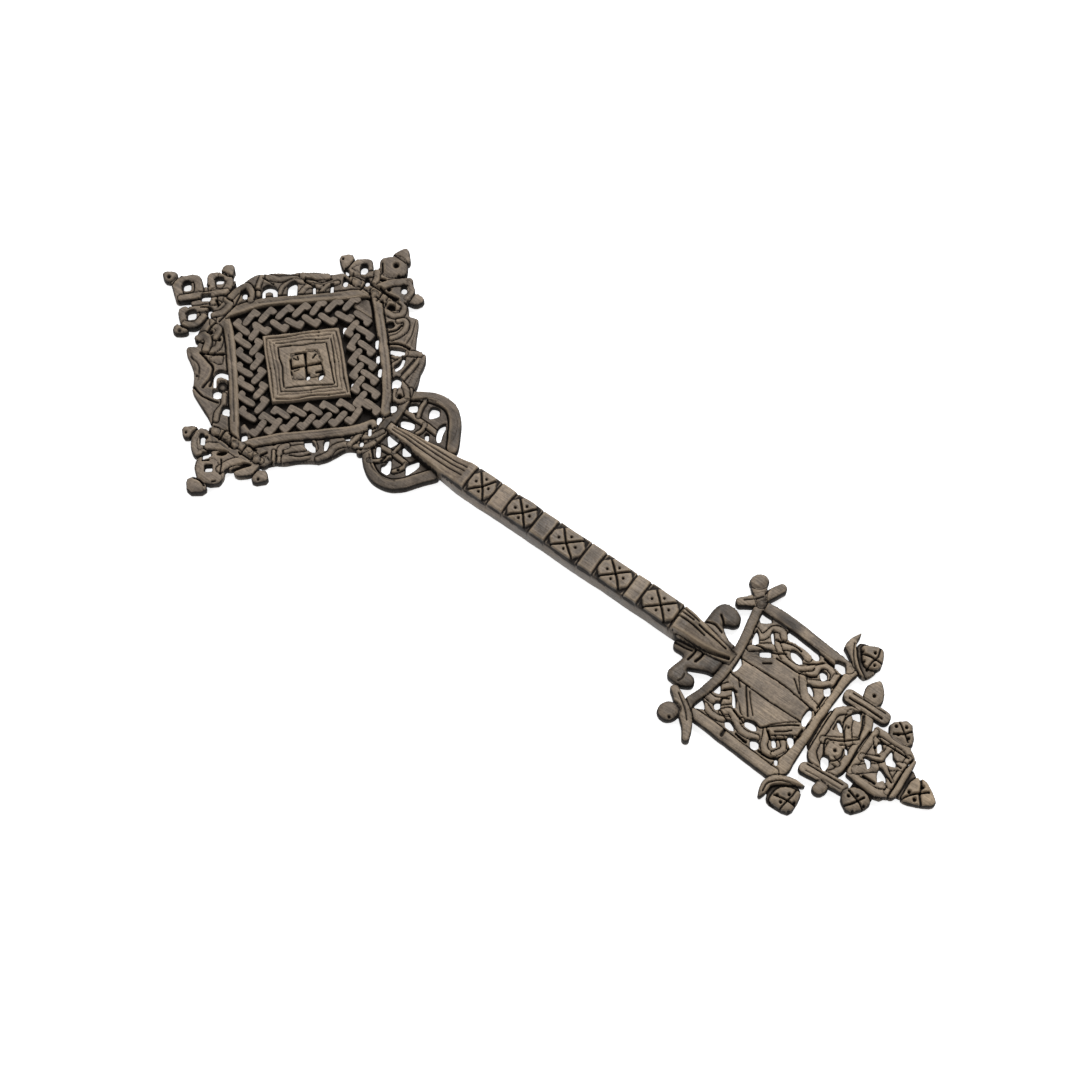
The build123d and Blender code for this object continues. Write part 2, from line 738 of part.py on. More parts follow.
# Curls that hook out from the foot of the handle, with the shoulders that carry them
curl_points = {
    "left": [
        (0, 24.6), (-10.4, 23.4), (-11.6, 21.4), (-12.2, 18.6), (-18.6, 18.2), (-22.4, 16.2),
        (-23.6, 12.4), (-23.0, 6.8), (-20.6, 4.8), (-18.2, 6.2), (-17.0, 9.0), (-16.4, 12.2),
        (-14.4, 11.4), (-13.4, 7.4), (-11.0, 1.0), (-9.0, -3.0), (0, -3.0),
    ],
    "right": [
        (0, 20.0), (5.6, 17.5), (14.6, 17.6), (17.3, 15.0), (16.9, 8.8), (14.6, 4.9),
        (11.4, 5.1), (9.9, 7.2), (11.0, 10.2), (8.7, 8.6), (5.4, 2.0), (4.6, -3.0), (0, -3.0),
    ],
}
for name, points in curl_points.items():
    curl_plan = outline([(x, base_y + up) for x, up in points], radius=0.9)
    with BuildSketch() as other_half:
        turn = -1 if name == "left" else 1
        Polygon(
            (handle_x, base_y - grip_length), (handle_x, base_y + grip_length),
            (handle_x - turn * grip_length, base_y + grip_length),
            (handle_x - turn * grip_length, base_y - grip_length),
            align=None,
        )
    with BuildPart() as curl:
        add(trimmed(curl_plan, [lower_taper_plan, top_bar_plan, other_half]).sketch)
        extrude(amount=plate_thickness)
    keep(curl, f"{name}_curl")

# Base: straps across its four corners
upper_left_strap = strap(base_point(-24.8, -9.3), base_point(-38.3, 5.2), corner_strap_width)
upper_right_strap = strap(base_point(23.5, -9.6), base_point(37.0, 1.6), corner_strap_width)
lower_left_strap = curved_strap(
    base_point(-40.5, bottom_bar_down + 2.9),
    base_point(-30.6, bottom_bar_down + 4.6),
    base_point(-26.1, bottom_bar_down + 13.0),
    corner_strap_width,
)
lower_right_strap = curved_strap(
    base_point(40.8, bottom_bar_down - 3.6),
    base_point(30.8, bottom_bar_down - 0.4),
    base_point(26.4, bottom_bar_down + 8.6),
    corner_strap_width,
)
base_straps = [upper_left_strap, upper_right_strap, lower_left_strap, lower_right_strap]

with BuildPart() as upper_corner_straps:
    add(upper_left_strap.sketch)
    add(upper_right_strap.sketch)
    extrude(amount=strap_height)
keep(upper_corner_straps, "base_upper_corner_straps")

for name, corner_strap in (("left", lower_left_strap), ("right", lower_right_strap)):
    with BuildPart() as lower_corner_strap:
        add(corner_strap.sketch)
        extrude(amount=strap_height)
    keep(lower_corner_strap, f"base_lower_{name}_strap")

# Base: round knobs on the upper corners and square dotted buds on the lower ones
upper_knob_centres = [base_point(-35.2, -6.1), base_point(33.7, -8.2)]
upper_knob_plan = holes([(centre, corner_knob_radius) for centre in upper_knob_centres])
with BuildPart() as upper_knobs:
    add(trimmed(upper_knob_plan, base_straps).sketch)
    extrude(amount=knob_height)
    add(dots(upper_knob_centres, knob_height).sketch)
    extrude(amount=-dot_depth, mode=Mode.SUBTRACT)
keep(upper_knobs, "base_upper_knobs")

bud_shapes = {
    "left": [
        (-40.3, 8.6), (-39.7, 14.2), (-38.0, 16.0), (-31.9, 15.8), (-30.4, 10.4), (-31.2, 4.0), (-36.3, 3.6),
    ],
    "right": [(32.6, 11.4), (28.0, 7.2), (32.6, -1.2), (38.3, -0.6), (42.2, 7.2)],
}
bud_dots = {
    "left": [(-38.2, 9.0), (-37.9, 14.0), (-33.2, 13.9), (-33.6, 9.4)],
    "right": [(33.6, 1.4), (37.4, 1.2), (33.4, 8.0), (39.0, 6.2)],
}
for name, points in bud_shapes.items():
    bud_plan = outline(base_points(points, bottom_bar_down), radius=1.2)
    with BuildPart() as bud:
        add(trimmed(bud_plan, base_straps).sketch)
        extrude(amount=knob_height)
        add(dots(base_points(bud_dots[name], bottom_bar_down), knob_height).sketch)
        extrude(amount=-dot_depth, mode=Mode.SUBTRACT)
    keep(bud, f"base_lower_{name}_bud")

# Base: the four bars of its frame
bottom_bar_plan = outline(base_points([
    (-base_half_width - left_bar_overhang, 0),
    (base_half_width + right_bar_overhang, 0),
    (base_half_width + right_bar_overhang, base_bottom_bar),
    (-base_half_width - left_bar_overhang, base_bottom_bar),
], bottom_bar_down))
with BuildPart() as top_bar:
    add(trimmed(top_bar_plan, base_straps).sketch)
    extrude(amount=plate_thickness)
keep(top_bar, "base_top_bar")

with BuildPart() as bottom_bar:
    add(trimmed(bottom_bar_plan, base_straps).sketch)
    extrude(amount=plate_thickness)
keep(bottom_bar, "base_bottom_bar")

side_bar_plans = []
for name, turn in (("left", -1), ("right", 1)):
    side_bar_plan = outline(base_points([
        (turn * (base_half_width - base_side_bar / 2), side_bar_top),
        (turn * (base_half_width + base_side_bar / 2), side_bar_top),
        (turn * (base_half_width + base_side_bar / 2), bottom_bar_down + base_bottom_bar / 2),
        (turn * (base_half_width - base_side_bar / 2), bottom_bar_down + base_bottom_bar / 2),
    ]))
    side_bar_plans.append(side_bar_plan)
    with BuildPart() as side_bar:
        add(trimmed(side_bar_plan, [top_bar_plan, bottom_bar_plan] + base_straps).sketch)
        extrude(amount=plate_thickness)
    keep(side_bar, f"base_{name}_bar")
base_bars = [top_bar_plan, bottom_bar_plan] + side_bar_plans + base_straps

# Base: what pierces the tracery, from the top bar down, left side and then right side
eye_outlines = [
    [(-26.6, 2.4), (-21.4, 1.4), (-23.6, 6.4)],
    [(-17.6, 2.6), (-10.6, 3.0), (-13.6, 6.4)],
    [(-17.4, 13.8), (-16.0, 14.6), (-10.0, 9.4), (-11.4, 8.0)],
    [(-24.6, 14.2), (-22.4, 17.4), (-24.4, 20.6)],
    [(-19.6, 20.2), (-17.6, 21.6), (-17.0, 25.4), (-18.4, 26.8), (-19.8, 24.0)],
    [(-25.0, 27.6), (-22.6, 30.8), (-25.0, 32.6)],
    [(-16.6, 42.2), (-14.2, 38.4), (-11.8, 42.2)],
    [(9.8, 2.2), (15.8, 1.8), (13.4, 6.6)],
    [(20.4, -1.6), (25.8, -2.0), (24.2, 6.8)],
    [(8.2, 9.6), (10.0, 9.0), (12.4, 13.2), (10.6, 14.2)],
    [(22.0, 13.2), (24.4, 13.0), (23.8, 28.6), (21.6, 27.0), (22.8, 20.0)],
    [(16.0, 20.2), (18.0, 20.0), (18.4, 24.4), (16.8, 26.2), (15.4, 23.4)],
    [(7.4, 36.8), (7.6, 34.6), (9.4, 32.8), (10.4, 34.0), (9.0, 37.2)],
    [(10.4, 42.2), (12.9, 39.4), (15.6, 42.2)],
    [(22.6, 42.2), (24.0, 37.4), (25.8, 42.2)],
]
round_eyes = [((-19.7, 7.9), 1.3), ((-19.3, 35.7), 1.4), ((17.8, 10.0), 1.7), ((17.3, 35.9), 1.8)]
tracery_eyes = holes(
    [(base_point(*place), radius) for place, radius in round_eyes],
    [base_points(points) for points in eye_outlines],
)
centre_eyes = holes(outlines=[
    base_points([(-5.4, 4.6), (-4.6, 2.0), (2.6, 2.0), (3.0, 4.8), (2.0, 6.2), (-4.6, 6.2)]),
    base_points([(-5.4, 0.6), (2.6, 0.6), (2.9, -3.0), (-3.3, -3.0), (-5.0, -2.0)], bottom_bar_down),
])
tongue_plan = outline(base_points([
    (-5.4, 6.2), (4.2, 6.2), (2.9, bottom_bar_down - 3.0), (-3.3, bottom_bar_down - 3.0),
]))
wing_points = {
    "left": [
        (0, 1.0), (-6.4, 1.0), (-8.2, 7.4), (-15.4, 16.4), (-16.2, 20.2), (-16.6, 27.2),
        (-5.8, 42.4), (0, 42.4),
    ],
    "right": [
        (0, 1.0), (5.4, 1.0), (6.2, 7.4), (11.6, 16.2), (12.6, 22.0), (12.5, 27.2), (5.0, 42.4), (0, 42.4),
    ],
}
wing_grooves = {
    "left": [((-6.6, 8.0), (-5.4, 37.4)), ((-9.2, 12.0), (-8.2, 35.2)), ((-11.8, 15.2), (-11.2, 31.6))],
    "right": [((5.6, 8.4), (4.8, 37.0)), ((7.8, 13.4), (7.2, 34.4)), ((10.0, 17.4), (9.8, 29.2))],
}
tongue_grooves = [((-1.8, 8.4), (-1.0, 37.6)), ((1.2, 8.4), (0.8, 37.6))]
with BuildPart() as tongue:
    add(tongue_plan.sketch)
    extrude(amount=leaf_height)
    add(grooves([base_points(line) for line in tongue_grooves], leaf_height).sketch)
    extrude(amount=-groove_depth, mode=Mode.SUBTRACT)
keep(tongue, "base_leaf_tongue")

for name, points in wing_points.items():
    turn = -1 if name == "left" else 1
    wing_plan = outline(base_points(points))
    with BuildPart() as wing:
        add(trimmed(wing_plan, [tongue_plan] + base_bars, [centre_eyes, tracery_eyes]).sketch)
        extrude(amount=web_height)
        add(grooves([base_points(line) for line in wing_grooves[name]], web_height).sketch)
        extrude(amount=-groove_depth, mode=Mode.SUBTRACT)
    keep(wing, f"base_leaf_{name}_wing")
    tracery_plan = outline(base_points([
        (0, base_top_bar / 2),
        (turn * base_half_width, side_bar_top),
        (turn * base_half_width, bottom_bar_down + 1.0),
        (0, bottom_bar_down + 1.0),
    ]))
    over = [tongue_plan, wing_plan] + base_bars
    with BuildPart() as tracery:
        add(trimmed(tracery_plan, over, [centre_eyes, tracery_eyes]).sketch)
        extrude(amount=web_height)
    keep(tracery, f"base_{name}_tracery")

# Lower cross: two ribbed bars that stand beside it, as side, lean and distance down to the middle
crossbar_places = [(-1, crossbar_lean, 12.8), (1, 0.2, 10.7)]
crossbar_plans = []
rib_lines = []
for turn, lean, middle_down in crossbar_places:
    half_l = crossbar_length / 2
    half_w = crossbar_width / 2
    crossbar_plans.append(outline(base_points([
        (turn * crossbar_offset - lean - half_w, middle_down - half_l),
        (turn * crossbar_offset - lean + half_w, middle_down - half_l),
        (turn * crossbar_offset + lean + half_w, middle_down + half_l),
        (turn * crossbar_offset + lean - half_w, middle_down + half_l),
    ], cross_down), radius=0.9))
    for rib in range(-crossbar_ribs_each_way, crossbar_ribs_each_way + 1):
        rib_x = turn * crossbar_offset + lean * rib * crossbar_rib_pitch / half_l
        rib_down = middle_down + rib * crossbar_rib_pitch
        rib_lines.append(base_points([(rib_x - half_w, rib_down), (rib_x + half_w, rib_down)], cross_down))
with BuildPart() as crossbars:
    for crossbar_plan in crossbar_plans:
        add(crossbar_plan.sketch)
    extrude(amount=plate_thickness)
    add(grooves(rib_lines, plate_thickness).sketch)
    extrude(amount=-groove_depth, mode=Mode.SUBTRACT)
keep(crossbars, "lower_cross_side_bars")

# Lower cross: the straps above and below its pierced knot
rosette_plan = outline(base_points([
    (rosette_x - rosette_half_width * 0.8, 0),
    (rosette_x + rosette_half_width * 0.8, 0),
    (rosette_x + rosette_half_width, rosette_height * 0.4),
    (rosette_x + rosette_half_width, rosette_height * 0.8),
    (rosette_x + rosette_half_width * 0.66, rosette_height),
    (rosette_x - rosette_half_width * 0.66, rosette_height),
    (rosette_x - rosette_half_width, rosette_height * 0.8),
    (rosette_x - rosette_half_width, rosette_height * 0.4),
], rosette_down), radius=0.9)
half_strap = cross_strap_width / 2
upper_strap_plan = ribbon(base_points([
    (-17.2, 9.6), (-10.8, half_strap - 0.4), (8.2, half_strap - 0.4), (16.6, 10.4),
], cross_down), cross_strap_width)
lower_strap_plan = ribbon(base_points([
    (-17.2, -7.6), (-8.8, 0.4 - half_strap), (9.7, 0.4 - half_strap), (17.2, -8.4),
], rosette_down), cross_strap_width)
strap_trims = [bottom_bar_plan, rosette_plan] + crossbar_plans
with BuildPart() as cross_straps:
    add(trimmed(upper_strap_plan, strap_trims).sketch)
    add(trimmed(lower_strap_plan, [upper_strap_plan] + strap_trims).sketch)
    extrude(amount=plate_thickness)
keep(cross_straps, "lower_cross_straps")

# Lower cross: the pierced knot between the straps
knot_plan = outline(
    base_points([(-15.6, 9.4), (-10.8, 2.2), (8.2, 2.2), (15.8, 9.8)], cross_down)
    + base_points([(9.7, -1.8), (-8.8, -1.8)], rosette_down)
)
knot_eyes = holes(outlines=[
    base_points([(-15.4, 9.6), (-12.0, 7.6), (-10.6, 9.9), (-12.2, 11.8), (-15.0, 11.6)], cross_down),
    base_points([(1.6, 8.2), (2.6, 4.8), (4.4, 4.6), (4.2, 7.6), (2.8, 9.4)], cross_down),
    base_points([(9.6, 8.0), (11.2, 7.0), (16.4, 9.8), (13.0, 12.4), (10.6, 11.6)], cross_down),
    base_points([(-5.4, 14.4), (-3.0, 12.9), (-2.6, 15.2), (-4.8, 15.8)], cross_down),
])
with BuildPart() as knot:
    add(trimmed(knot_plan, [upper_strap_plan, lower_strap_plan] + strap_trims, [knot_eyes]).sketch)
    extrude(amount=web_height)
    add(dots(base_points([(-6.0, 10.2), (5.8, 10.6)], cross_down), web_height).sketch)
    extrude(amount=-dot_depth, mode=Mode.SUBTRACT)
keep(knot, "lower_cross_knot")

# Lower cross: a bud on the outer side of each bar
left_bud_centre = base_point(-crossbar_offset - 5.2, cross_down + 14.8)
left_bud_plan = holes([(left_bud_centre, 3.6)])
right_bud_plan = outline(base_points([
    (crossbar_offset + 1.2, 6.8), (crossbar_offset + 5.2, 6.2), (crossbar_offset + 11.6, 9.4),
    (crossbar_offset + 5.4, 14.0), (crossbar_offset + 1.2, 13.2),
], cross_down), radius=0.9)
with BuildPart() as cross_buds:
    add(trimmed(left_bud_plan, crossbar_plans).sketch)
    add(trimmed(right_bud_plan, crossbar_plans).sketch)
    extrude(amount=knob_height)
    add(dots([left_bud_centre, base_point(crossbar_offset + 4.6, cross_down + 10.2)], knob_height).sketch)
    extrude(amount=-dot_depth, mode=Mode.SUBTRACT)
keep(cross_buds, "lower_cross_buds")

# Rosette: a bulging square frame round a star of four piercings
star_points = [
    (rosette_x - rosette_half_width + rosette_bar + 1.0, rosette_bar),
    (rosette_x + rosette_half_width - rosette_bar - 1.0, rosette_bar),
    (rosette_x + rosette_half_width - rosette_bar, rosette_height - rosette_bar),
    (rosette_x - rosette_half_width + rosette_bar, rosette_height - rosette_bar),
]
star_plan = outline(base_points(star_points, rosette_down))
star_eyes = holes(outlines=[
    base_points([(-4.6, 4.6), (-1.6, 4.6), (-0.8, 8.0), (-4.0, 7.2)], rosette_down),
    base_points([(3.2, 5.0), (6.2, 4.8), (7.4, 7.2), (4.0, 7.6)], rosette_down),
    base_points([(-5.6, 10.6), (-1.6, 10.2), (-2.4, 15.2), (-6.0, 13.8)], rosette_down),
    base_points([(3.0, 10.6), (7.2, 10.4), (4.6, 15.4)], rosette_down),
])
with BuildPart() as rosette_frame:
    add(trimmed(rosette_plan, [star_plan]).sketch)
    extrude(amount=plate_thickness)
keep(rosette_frame, "rosette_frame")

with BuildPart() as rosette_star:
    add(trimmed(star_plan, pierced=[star_eyes]).sketch)
    extrude(amount=web_height)
keep(rosette_star, "rosette_star")

# Rosette: a dotted bud on each side
side_bud_points = {
    "left": [(-24.9, 10.6), (-20.8, 5.0), (-12.8, 5.4), (-9.0, 9.6), (-11.6, 15.0), (-16.2, 17.4)],
    "right": [(23.4, 10.2), (18.0, 4.6), (11.6, 5.4), (10.0, 9.0), (11.6, 14.6), (16.0, 15.8)],
}
side_bud_dots = base_points([
    (-20.4, 8.6), (-16.2, 7.8), (-20.2, 12.8), (-16.0, 13.6), (17.4, 7.4), (19.6, 10.8), (16.4, 13.2),
], rosette_down)
with BuildPart() as side_buds:
    for points in side_bud_points.values():
        side_bud_plan = outline(base_points(points, rosette_down), radius=0.9)
        add(trimmed(side_bud_plan, [rosette_plan]).sketch)
    extrude(amount=knob_height)
    add(dots(side_bud_dots, knob_height).sketch)
    extrude(amount=-dot_depth, mode=Mode.SUBTRACT)
keep(side_buds, "rosette_side_buds")

# Foot: a short bar and the last bud, an acorn with a blunt point
foot_bar_plan = outline(base_points([
    (-foot_bar_half_length, 0), (foot_bar_half_length, 0),
    (foot_bar_half_length, foot_bar_width), (-foot_bar_half_length, foot_bar_width),
], foot_bar_down))
with BuildPart() as foot_bar:
    add(foot_bar_plan.sketch)
    extrude(amount=plate_thickness)
    chamfer(foot_bar.faces().sort_by(Axis.Z)[-1].edges(), length=foot_bar_width / 7)
keep(foot_bar, "foot_bar")

acorn_plan = outline(base_points([
    (-5.6, 0), (-7.4, 3.8), (-4.8, 9.0), (-1.4, terminal_length), (1.0, terminal_length),
    (5.0, 9.0), (6.9, 3.8), (5.0, 0),
], terminal_down))
with BuildPart() as terminal:
    add(acorn_plan.sketch)
    extrude(amount=knob_height)
    chamfer(terminal.faces().sort_by(Axis.Z)[-1].edges(), length=knob_radius / 5)
    acorn_dots = base_points([(0.1, 2.2), (-2.6, 5.4), (3.2, 5.4), (0.4, 9.4)], terminal_down)
    add(dots(acorn_dots, knob_height).sketch)
    extrude(amount=-dot_depth, mode=Mode.SUBTRACT)
keep(terminal, "terminal_bud")
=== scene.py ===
import math

import bpy
import numpy as np
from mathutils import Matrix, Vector


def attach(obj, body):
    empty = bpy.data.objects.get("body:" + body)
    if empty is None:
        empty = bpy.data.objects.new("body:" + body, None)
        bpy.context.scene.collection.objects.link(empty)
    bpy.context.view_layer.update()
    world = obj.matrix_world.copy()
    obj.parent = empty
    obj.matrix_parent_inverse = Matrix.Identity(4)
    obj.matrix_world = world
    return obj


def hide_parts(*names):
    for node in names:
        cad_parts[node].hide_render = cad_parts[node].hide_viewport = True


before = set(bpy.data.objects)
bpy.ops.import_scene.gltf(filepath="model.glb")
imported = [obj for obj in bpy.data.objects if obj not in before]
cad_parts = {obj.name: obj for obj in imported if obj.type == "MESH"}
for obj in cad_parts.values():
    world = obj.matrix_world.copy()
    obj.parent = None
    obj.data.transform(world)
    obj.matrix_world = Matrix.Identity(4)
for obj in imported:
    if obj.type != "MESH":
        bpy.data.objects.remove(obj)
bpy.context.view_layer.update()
mm = 0.001

# ---- camera, at the photograph's angle
cameraSet = {
    "azimuth": -54.0,                      # degrees
    "elevation": 68.0,
    "distance": 1.247,                     # metres from the aim
    "lens": 100.0,
    "sensor": 36.0,
    "aim": (-0.0049, -0.0039, 0.0055),
}


def lookBack(azimuth, elevation):
    turn, rise = math.radians(azimuth), math.radians(elevation)
    return Vector((math.sin(turn) * math.cos(rise), -math.cos(turn) * math.cos(rise), math.sin(rise)))


def addCamera(settings):
    data = bpy.data.cameras.new("photoCamera")
    data.lens = settings["lens"]
    data.sensor_width = settings["sensor"]
    camera = bpy.data.objects.new("photoCamera", data)
    bpy.context.scene.collection.objects.link(camera)
    back = lookBack(settings["azimuth"], settings["elevation"])
    camera.location = Vector(settings["aim"]) + back * settings["distance"]
    camera.rotation_euler = (-back).to_track_quat("-Z", "Y").to_euler()
    bpy.context.scene.camera = camera
    return camera


addCamera(cameraSet)
print("camera set")

# ---- the drawing board: every value in mm, seen from above
board = {
    "step": 0.28,                          # spacing of the grid
    "left": -78.0, "right": 78.0,
    "low": -204.0, "high": 204.0,
    "wobble": 0.2, "wobbleSpan": 7.0,      # how far a hand-led knife strays, and over what length
    "shake": 0.07, "shakeSpan": 2.2,
    "round": 0.75,                         # worn edge
    "wallFoot": 0.5, "wallInset": 0.3,     # bevel of the lower edge
    "seed": 5,
}
readShift = (0.9, -0.2)                    # grid of the readings to the model's frame
wallShow = (1.5, 1.1)                      # how far a wall shows beside an opening at the camera's angle

step = board["step"]
countX = int((board["right"] - board["left"]) / step) + 1
countY = int((board["high"] - board["low"]) / step) + 1
gridX, gridY = np.meshgrid(board["left"] + step * np.arange(countX),
                           board["low"] + step * np.arange(countY), indexing="ij")


def softNoise(span, seed, stretch=1.0):
    draw = np.random.RandomState(seed)
    nodesX = int((board["right"] - board["left"]) / span) + 4
    nodesY = int((board["high"] - board["low"]) / (span * stretch)) + 4
    lattice = draw.uniform(-1.0, 1.0, (nodesX, nodesY))
    u = (gridX - board["left"]) / span
    v = (gridY - board["low"]) / (span * stretch)
    i, j = u.astype(int), v.astype(int)
    fu, fv = u - i, v - j
    fu, fv = fu * fu * (3 - 2 * fu), fv * fv * (3 - 2 * fv)
    return ((lattice[i, j] * (1 - fu) + lattice[i + 1, j] * fu) * (1 - fv)
            + (lattice[i, j + 1] * (1 - fu) + lattice[i + 1, j + 1] * fu) * fv)


handX = gridX + board["wobble"] * softNoise(board["wobbleSpan"], 11) + board["shake"] * softNoise(board["shakeSpan"], 12)
handY = gridY + board["wobble"] * softNoise(board["wobbleSpan"], 13) + board["shake"] * softNoise(board["shakeSpan"], 14)

solid = np.full(gridX.shape, -9.0)         # distance to the outline, positive inside the wood
heights = np.zeros(gridX.shape)            # top of the wood
smoke = np.zeros(gridX.shape)              # darkened by handling and smoke, or rubbed pale where below 0
recessShade = np.zeros(gridX.shape)              # painted shade laid into notches and recesses


def seen(*points):
    return [(x + readShift[0], y + readShift[1]) for x, y in points]


def windowOf(points, reach):
    low, high = np.min(points, 0) - reach, np.max(points, 0) + reach
    i0 = max(0, int((low[0] - board["left"]) / step))
    j0 = max(0, int((low[1] - board["low"]) / step))
    i1 = min(countX, int((high[0] - board["left"]) / step) + 2)
    j1 = min(countY, int((high[1] - board["low"]) / step) + 2)
    return slice(i0, i1), slice(j0, j1)


def softStep(value, width):
    t = np.clip(value / width, 0.0, 1.0)
    return t * t * (3 - 2 * t)


def cutCorners(points, times):             # each pass rounds an outline's corners
    points = np.array(points, float)
    for _ in range(times):
        after = np.roll(points, -1, 0)
        points = np.stack([points * 0.78 + after * 0.22, points * 0.22 + after * 0.78], 1).reshape(-1, 2)
    return points


def curveThrough(points, closed=False, pieces=5):
    points = np.array(points, float)
    if len(points) < 3:
        return points
    ends = [points[-1], *points, points[0], points[1]] if closed else [2 * points[0] - points[1], *points, 2 * points[-1] - points[-2]]
    ends = np.array(ends)
    made = []
    for a, b, c, d in zip(ends[:-3], ends[1:-2], ends[2:-1], ends[3:]):
        for t in np.arange(pieces) / pieces:
            made.append(0.5 * (2 * b + (c - a) * t + (2 * a - 5 * b + 4 * c - d) * t * t + (3 * b - a - 3 * c + d) * t ** 3))
    made.append(ends[-2])
    return np.array(made)


def insideOf(points, px, py):
    nearest = np.full(px.shape, 1e9)
    odd = np.zeros(px.shape, bool)
    for (ax, ay), (bx, by) in zip(points, np.roll(points, -1, 0)):
        ex, ey = bx - ax, by - ay
        t = np.clip(((px - ax) * ex + (py - ay) * ey) / (ex * ex + ey * ey + 1e-12), 0, 1)
        nearest = np.minimum(nearest, (px - ax - t * ex) ** 2 + (py - ay - t * ey) ** 2)
        if ay != by:
            cross = (ay > py) != (by > py)
            odd ^= cross & (px < ex * (py - ay) / ey + ax)
    nearest = np.sqrt(nearest)
    return np.where(odd, nearest, -nearest)


def lineInside(points, halves, px, py):
    best = np.full(px.shape, -1e9)
    halfThere = np.full(px.shape, 1.0)
    for (ax, ay), (bx, by), ha, hb in zip(points[:-1], points[1:], halves[:-1], halves[1:]):
        ex, ey = bx - ax, by - ay
        t = np.clip(((px - ax) * ex + (py - ay) * ey) / (ex * ex + ey * ey + 1e-12), 0, 1)
        half = ha + (hb - ha) * t
        inside = half - np.hypot(px - ax - t * ex, py - ay - t * ey)
        halfThere = np.where(inside > best, half, halfThere)
        best = np.maximum(best, inside)
    return best, halfThere


def asSeen(inside, px, py):                # what is left of a silhouette once its visible wall is taken off
    return np.minimum.reduce([inside(px - share * wallShow[0], py - share * wallShow[1]) for share in (0, 0.35, 0.7, 1)])


def throughSeen(inside, px, py):           # an opening is its light part and the wall seen beside it
    return np.maximum.reduce([inside(px - share * wallShow[0], py - share * wallShow[1]) for share in (0, 0.35, 0.7, 1)])


def plate(points, top, cuts=2, bevel=0.6, walled=False, grow=True):
    points = cutCorners(points, cuts)
    win = windowOf(points, 2.0)
    px, py = handX[win], handY[win]
    inside = asSeen(lambda x, y: insideOf(points, x, y), px, py) if walled else insideOf(points, px, py)
    share = softStep(inside + 0.1, bevel)
    under = np.where(solid[win] < -0.1, top, heights[win])
    heights[win] = under * (1 - share) + top * share
    if grow:
        solid[win] = np.maximum(solid[win], inside)


def strap(points, width, top, crown=0.45, moat=0.55, depth=1.3, closed=False, grow=True, bevel=0.5):
    points = curveThrough(points, closed)
    halves = (np.interp(np.arange(len(points)), np.linspace(0, len(points) - 1, len(np.atleast_1d(width))), np.atleast_1d(width))) / 2
    win = windowOf(points, halves.max() + 2.0)
    px, py = handX[win], handY[win]
    inside, half = lineInside(points, halves, px, py)
    face = top - crown * np.clip(1 - inside / half, 0, 1) ** 2
    under = np.where(solid[win] < -0.1, face, heights[win])
    ditch = depth * np.clip(1 + inside / moat, 0, 1) * (inside < 0)
    under = np.maximum(under - ditch, np.minimum(under, 1.4))
    share = softStep(inside + 0.05, bevel)
    heights[win] = under * (1 - share) + face * share
    if grow:
        solid[win] = np.maximum(solid[win], inside)


def knob(centre, radius, top, crown=0.9, moat=0.5, stretch=(1, 1), turn=0.0, corners=0, grow=True):
    if corners:
        angles = math.radians(turn) + np.arange(corners) * 2 * math.pi / corners
        points = [(centre[0] + radius * stretch[0] * math.cos(a), centre[1] + radius * stretch[1] * math.sin(a)) for a in angles]
        dome(points, top, crown, moat, grow=grow)
    else:
        strap([centre, (centre[0] + 0.01, centre[1])], radius * 2, top, crown, moat, grow=grow)


def dome(points, top, crown=0.9, moat=0.5, cuts=2, walled=False, grow=True, reach=2.6):
    points = cutCorners(points, cuts)
    win = windowOf(points, 2.0)
    px, py = handX[win], handY[win]
    inside = asSeen(lambda x, y: insideOf(points, x, y), px, py) if walled else insideOf(points, px, py)
    face = top - crown * np.clip(1 - inside / reach, 0, 1) ** 2
    under = np.where(solid[win] < -0.1, face, heights[win])
    under = np.maximum(under - 1.2 * np.clip(1 + inside / moat, 0, 1) * (inside < 0), np.minimum(under, 1.4))
    share = softStep(inside + 0.05, 0.5)
    heights[win] = under * (1 - share) + face * share
    if grow:
        solid[win] = np.maximum(solid[win], inside)


def pierce(points, cuts=2):                # an opening read as the light part of the photograph
    points = cutCorners(points, cuts)
    win = windowOf(points, 3.5)
    px, py = handX[win], handY[win]
    opening = throughSeen(lambda x, y: insideOf(points, x, y), px, py)
    solid[win] = np.minimum(solid[win], -opening)


def pierceDot(centre, radius):
    win = windowOf([centre], radius + 3.5)
    px, py = handX[win], handY[win]
    opening = throughSeen(lambda x, y: radius - np.hypot(x - centre[0], y - centre[1]), px, py)
    solid[win] = np.minimum(solid[win], -opening)


def pierceLine(points, width):
    points = curveThrough(points)
    halves = np.full(len(points), width / 2)
    win = windowOf(points, width + 3.5)
    px, py = handX[win], handY[win]
    opening = throughSeen(lambda x, y: lineInside(points, halves, x, y)[0], px, py)
    solid[win] = np.minimum(solid[win], -opening)


def groove(points, width=0.9, depth=1.1, closed=False, least=1.2):
    points = curveThrough(points, closed)
    win = windowOf(points, width + 1.0)
    inside, half = lineInside(points, np.full(len(points), width / 2 + 0.15), handX[win], handY[win])
    cut = depth * softStep(inside, width / 2 + 0.15)
    heights[win] = np.maximum(heights[win] - cut, np.minimum(heights[win], least))


def pit(centre, radius, depth=1.8, least=1.0):
    groove([centre, (centre[0] + 0.01, centre[1])], radius * 2, depth, least=least)


def sink(points, floor, cuts=2, bevel=0.7):
    points = cutCorners(points, cuts)
    win = windowOf(points, 2.0)
    share = softStep(insideOf(points, handX[win], handY[win]) + 0.1, bevel)
    heights[win] = np.where(heights[win] > floor, heights[win] * (1 - share) + floor * share, heights[win])


def shade(field, points, amount, reach):   # a soft-edged patch added to the smoke or to the painted recess shade
    win = windowOf(points, reach + 1)
    field[win] += amount * softStep(insideOf(np.array(points), handX[win], handY[win]) + reach, 2 * reach)


